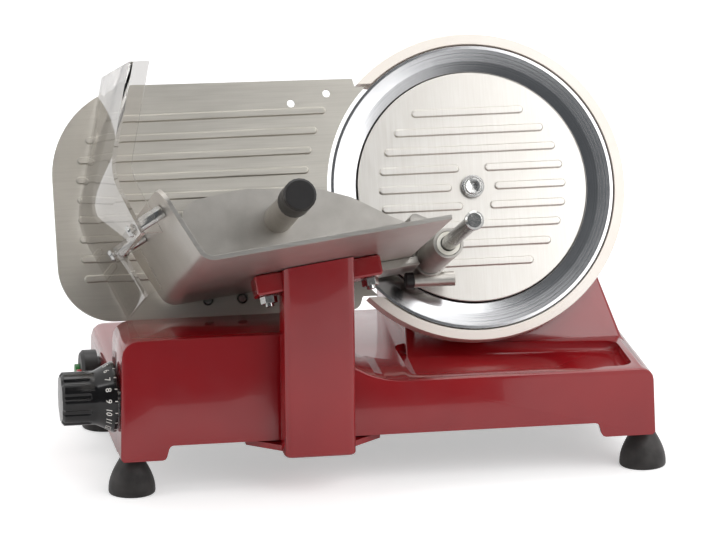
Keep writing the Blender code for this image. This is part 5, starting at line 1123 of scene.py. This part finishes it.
def make_floor_material():
    """Matt white studio table: pale to the eye, while it keeps the soft shadow under the feet."""
    material, tree, shader = blank_material("studio_table_matt_white")
    cloud = ranged(tree, mottle(tree, place_of(tree), 300, 2.0), 0, 1)
    # To the camera the table glows a little, so that it reads white and its shadows stay faint
    seen = add(tree, "ShaderNodeLightPath").outputs["Is Camera Ray"]
    glow = add(tree, "ShaderNodeMath", {0: seen, 1: TABLE_GLOW}, operation="MULTIPLY").outputs[0]
    set_shader(
        shader,
        Base_Color=blended(tree, cloud, linear("#F4F4F4"), linear("#F1F1F1")),
        Roughness=0.9,
        Specular_IOR_Level=0.2,
        Emission_Color=rgba((1, 1, 1)),
        Emission_Strength=glow,
    )
    return material


def flat_sheet(name, corners, material):
    """A stage piece of one four-sided face."""
    mesh = bpy.data.meshes.new(name)
    mesh.from_pydata(corners, [], [(0, 1, 2, 3)])
    mesh.materials.append(material)
    sheet = bpy.data.objects.new(name, mesh)
    bpy.context.scene.collection.objects.link(sheet)
    return sheet


def make_world(studio):
    """White to the camera and in reflections, and a plainer level for the light itself."""
    world = bpy.data.worlds.new("studio_world")
    world.use_nodes = True
    tree = world.node_tree
    tree.nodes.clear()
    path = add(tree, "ShaderNodeLightPath")
    seen = path.outputs["Is Camera Ray"]
    for kind in ("Is Glossy Ray", "Is Transmission Ray"):
        seen = add(
            tree, "ShaderNodeMath", {0: seen, 1: path.outputs[kind]}, operation="MAXIMUM"
        ).outputs[0]
    even = add(tree, "ShaderNodeBackground", {"Color": rgba((1, 1, 1)), "Strength": studio.ambient})
    white = add(tree, "ShaderNodeBackground", {"Color": rgba((1, 1, 1)), "Strength": 1.0})
    mixed = add(tree, "ShaderNodeMixShader", {0: seen, 1: even.outputs[0], 2: white.outputs[0]})
    add(tree, "ShaderNodeOutputWorld", {"Surface": mixed.outputs[0]})
    bpy.context.scene.world = world


def make_lamp(name, power, size, azimuth, elevation, distance, target):
    """A softbox that faces a target, placed by its bearing from the front and its height."""
    data = bpy.data.lights.new(name, "AREA")
    data.energy = power
    data.shape = "RECTANGLE"
    data.size, data.size_y = size
    lamp = bpy.data.objects.new(name, data)
    turn, rise = radians(azimuth), radians(elevation)
    offset = Vector((sin(turn) * cos(rise), -cos(turn) * cos(rise), sin(rise))) * distance
    lamp.location = target + offset
    lamp.rotation_euler = offset.to_track_quat("Z", "Y").to_euler()
    bpy.context.scene.collection.objects.link(lamp)


def make_camera(studio):
    """The photograph's view: from the left front, 15 degrees up, with a long lens."""
    bearing, rise, roll = CAMERA_BEARING, CAMERA_RISE, CAMERA_ROLL
    forward = Vector((sin(bearing) * cos(rise), cos(bearing) * cos(rise), -sin(rise)))
    level = Vector((cos(bearing), -sin(bearing), 0))
    upright = level.cross(forward)
    right = level * cos(roll) + upright * sin(roll)
    up = upright * cos(roll) - level * sin(roll)
    data = bpy.data.cameras.new("camera")
    data.lens = studio.lens
    data.sensor_width = 36.0
    data.clip_end = 50.0
    camera = bpy.data.objects.new("camera", data)
    place = CAMERA_TARGET - forward * studio.distance
    columns = Matrix((right, up, -forward)).transposed().to_4x4()
    camera.matrix_world = Matrix.Translation(place) @ columns
    bpy.context.scene.collection.objects.link(camera)
    bpy.context.scene.camera = camera


def make_card(name, colour):
    """A dark card that only polished surfaces see: a painted dark reflection that stands in for the unlit
    room behind the camera.
    """
    material, tree, shader = blank_material("studio_card_painted_dark_reflection")
    # Painted dark reflection: the card's grey, with a faint mottle, is seen only in polished metal and
    # enamel
    reflection_mottle = ranged(tree, mottle(tree, place_of(tree), 400, 2.0), 0, 1)
    set_shader(
        shader,
        Base_Color=blended(tree, reflection_mottle, colour, tuple(c * 0.85 for c in colour)),
        Roughness=1.0,
        Specular_IOR_Level=0.0,
    )
    foot = [(CARD_LEFT, CARD_Y, 0.0), (CARD_RIGHT, CARD_Y, 0.0)]
    top = [(CARD_RIGHT, CARD_Y, CARD_TOP), (CARD_LEFT, CARD_Y, CARD_TOP)]
    card = flat_sheet(name, foot + top, material)
    for kind in ("camera", "diffuse", "shadow", "transmission", "volume_scatter"):
        setattr(card, f"visible_{kind}", False)


class SLICER_OT_stage(bpy.types.Operator):
    """Makes the pale floor, the soft light and the camera"""

    bl_idname = "slicer.stage"
    bl_label = "Stage"

    def execute(self, context):
        scene = context.scene
        studio = scene.slicer_studio
        scene.view_settings.view_transform = "Standard"
        half = studio.floor / 2
        corners = [(-half, -half, 0), (half, -half, 0), (half, half, 0), (-half, half, 0)]
        floor = flat_sheet("studio_floor", corners, make_floor_material())
        make_world(studio)
        for name, share, size, bearing, elevation, distance in SOFTBOXES:
            make_lamp(name, studio.key * share, size, bearing, elevation, distance, STUDIO_TARGET)
        # The card's grey is painted dark reflection for the blade and the enamel
        make_card("card_front", linear("#6E7276"))
        make_camera(studio)
        return {"FINISHED"}


class SLICER_PT_panel(bpy.types.Panel):
    """Lists the slicer's operators and settings"""

    bl_idname = "SLICER_PT_panel"
    bl_label = "Meat slicer"
    bl_space_type = "VIEW_3D"
    bl_region_type = "UI"
    bl_category = "Slicer"

    def draw(self, context):
        layout = self.layout
        for operator in OPERATORS:
            layout.operator(operator.bl_idname)
        for group in SETTINGS:
            settings = getattr(context.scene, SETTINGS[group])
            for name in group.__annotations__:
                layout.prop(settings, name)


OPERATORS = (
    SLICER_OT_finishes,
    SLICER_OT_base,
    SLICER_OT_blade,
    SLICER_OT_drive,
    SLICER_OT_gauge,
    SLICER_OT_index,
    SLICER_OT_switch,
    SLICER_OT_carriage,
    SLICER_OT_tray,
    SLICER_OT_pusher,
    SLICER_OT_stage,
)
SETTINGS = {
    SlicerColours: "slicer_colours",
    SlicerSizes: "slicer_sizes",
    SlicerStudio: "slicer_studio",
}


def register():
    for group, name in SETTINGS.items():
        bpy.utils.register_class(group)
        setattr(bpy.types.Scene, name, bpy.props.PointerProperty(type=group))
    for operator in OPERATORS:
        bpy.utils.register_class(operator)
    bpy.utils.register_class(SLICER_PT_panel)


def unregister():
    bpy.utils.unregister_class(SLICER_PT_panel)
    for operator in reversed(OPERATORS):
        bpy.utils.unregister_class(operator)
    for group, name in reversed(list(SETTINGS.items())):
        delattr(bpy.types.Scene, name)
        bpy.utils.unregister_class(group)


def main():
    register()
    for operator in OPERATORS:
        area, name = operator.bl_idname.split(".")
        getattr(getattr(bpy.ops, area), name)()


if __name__ == "__main__":
    main()
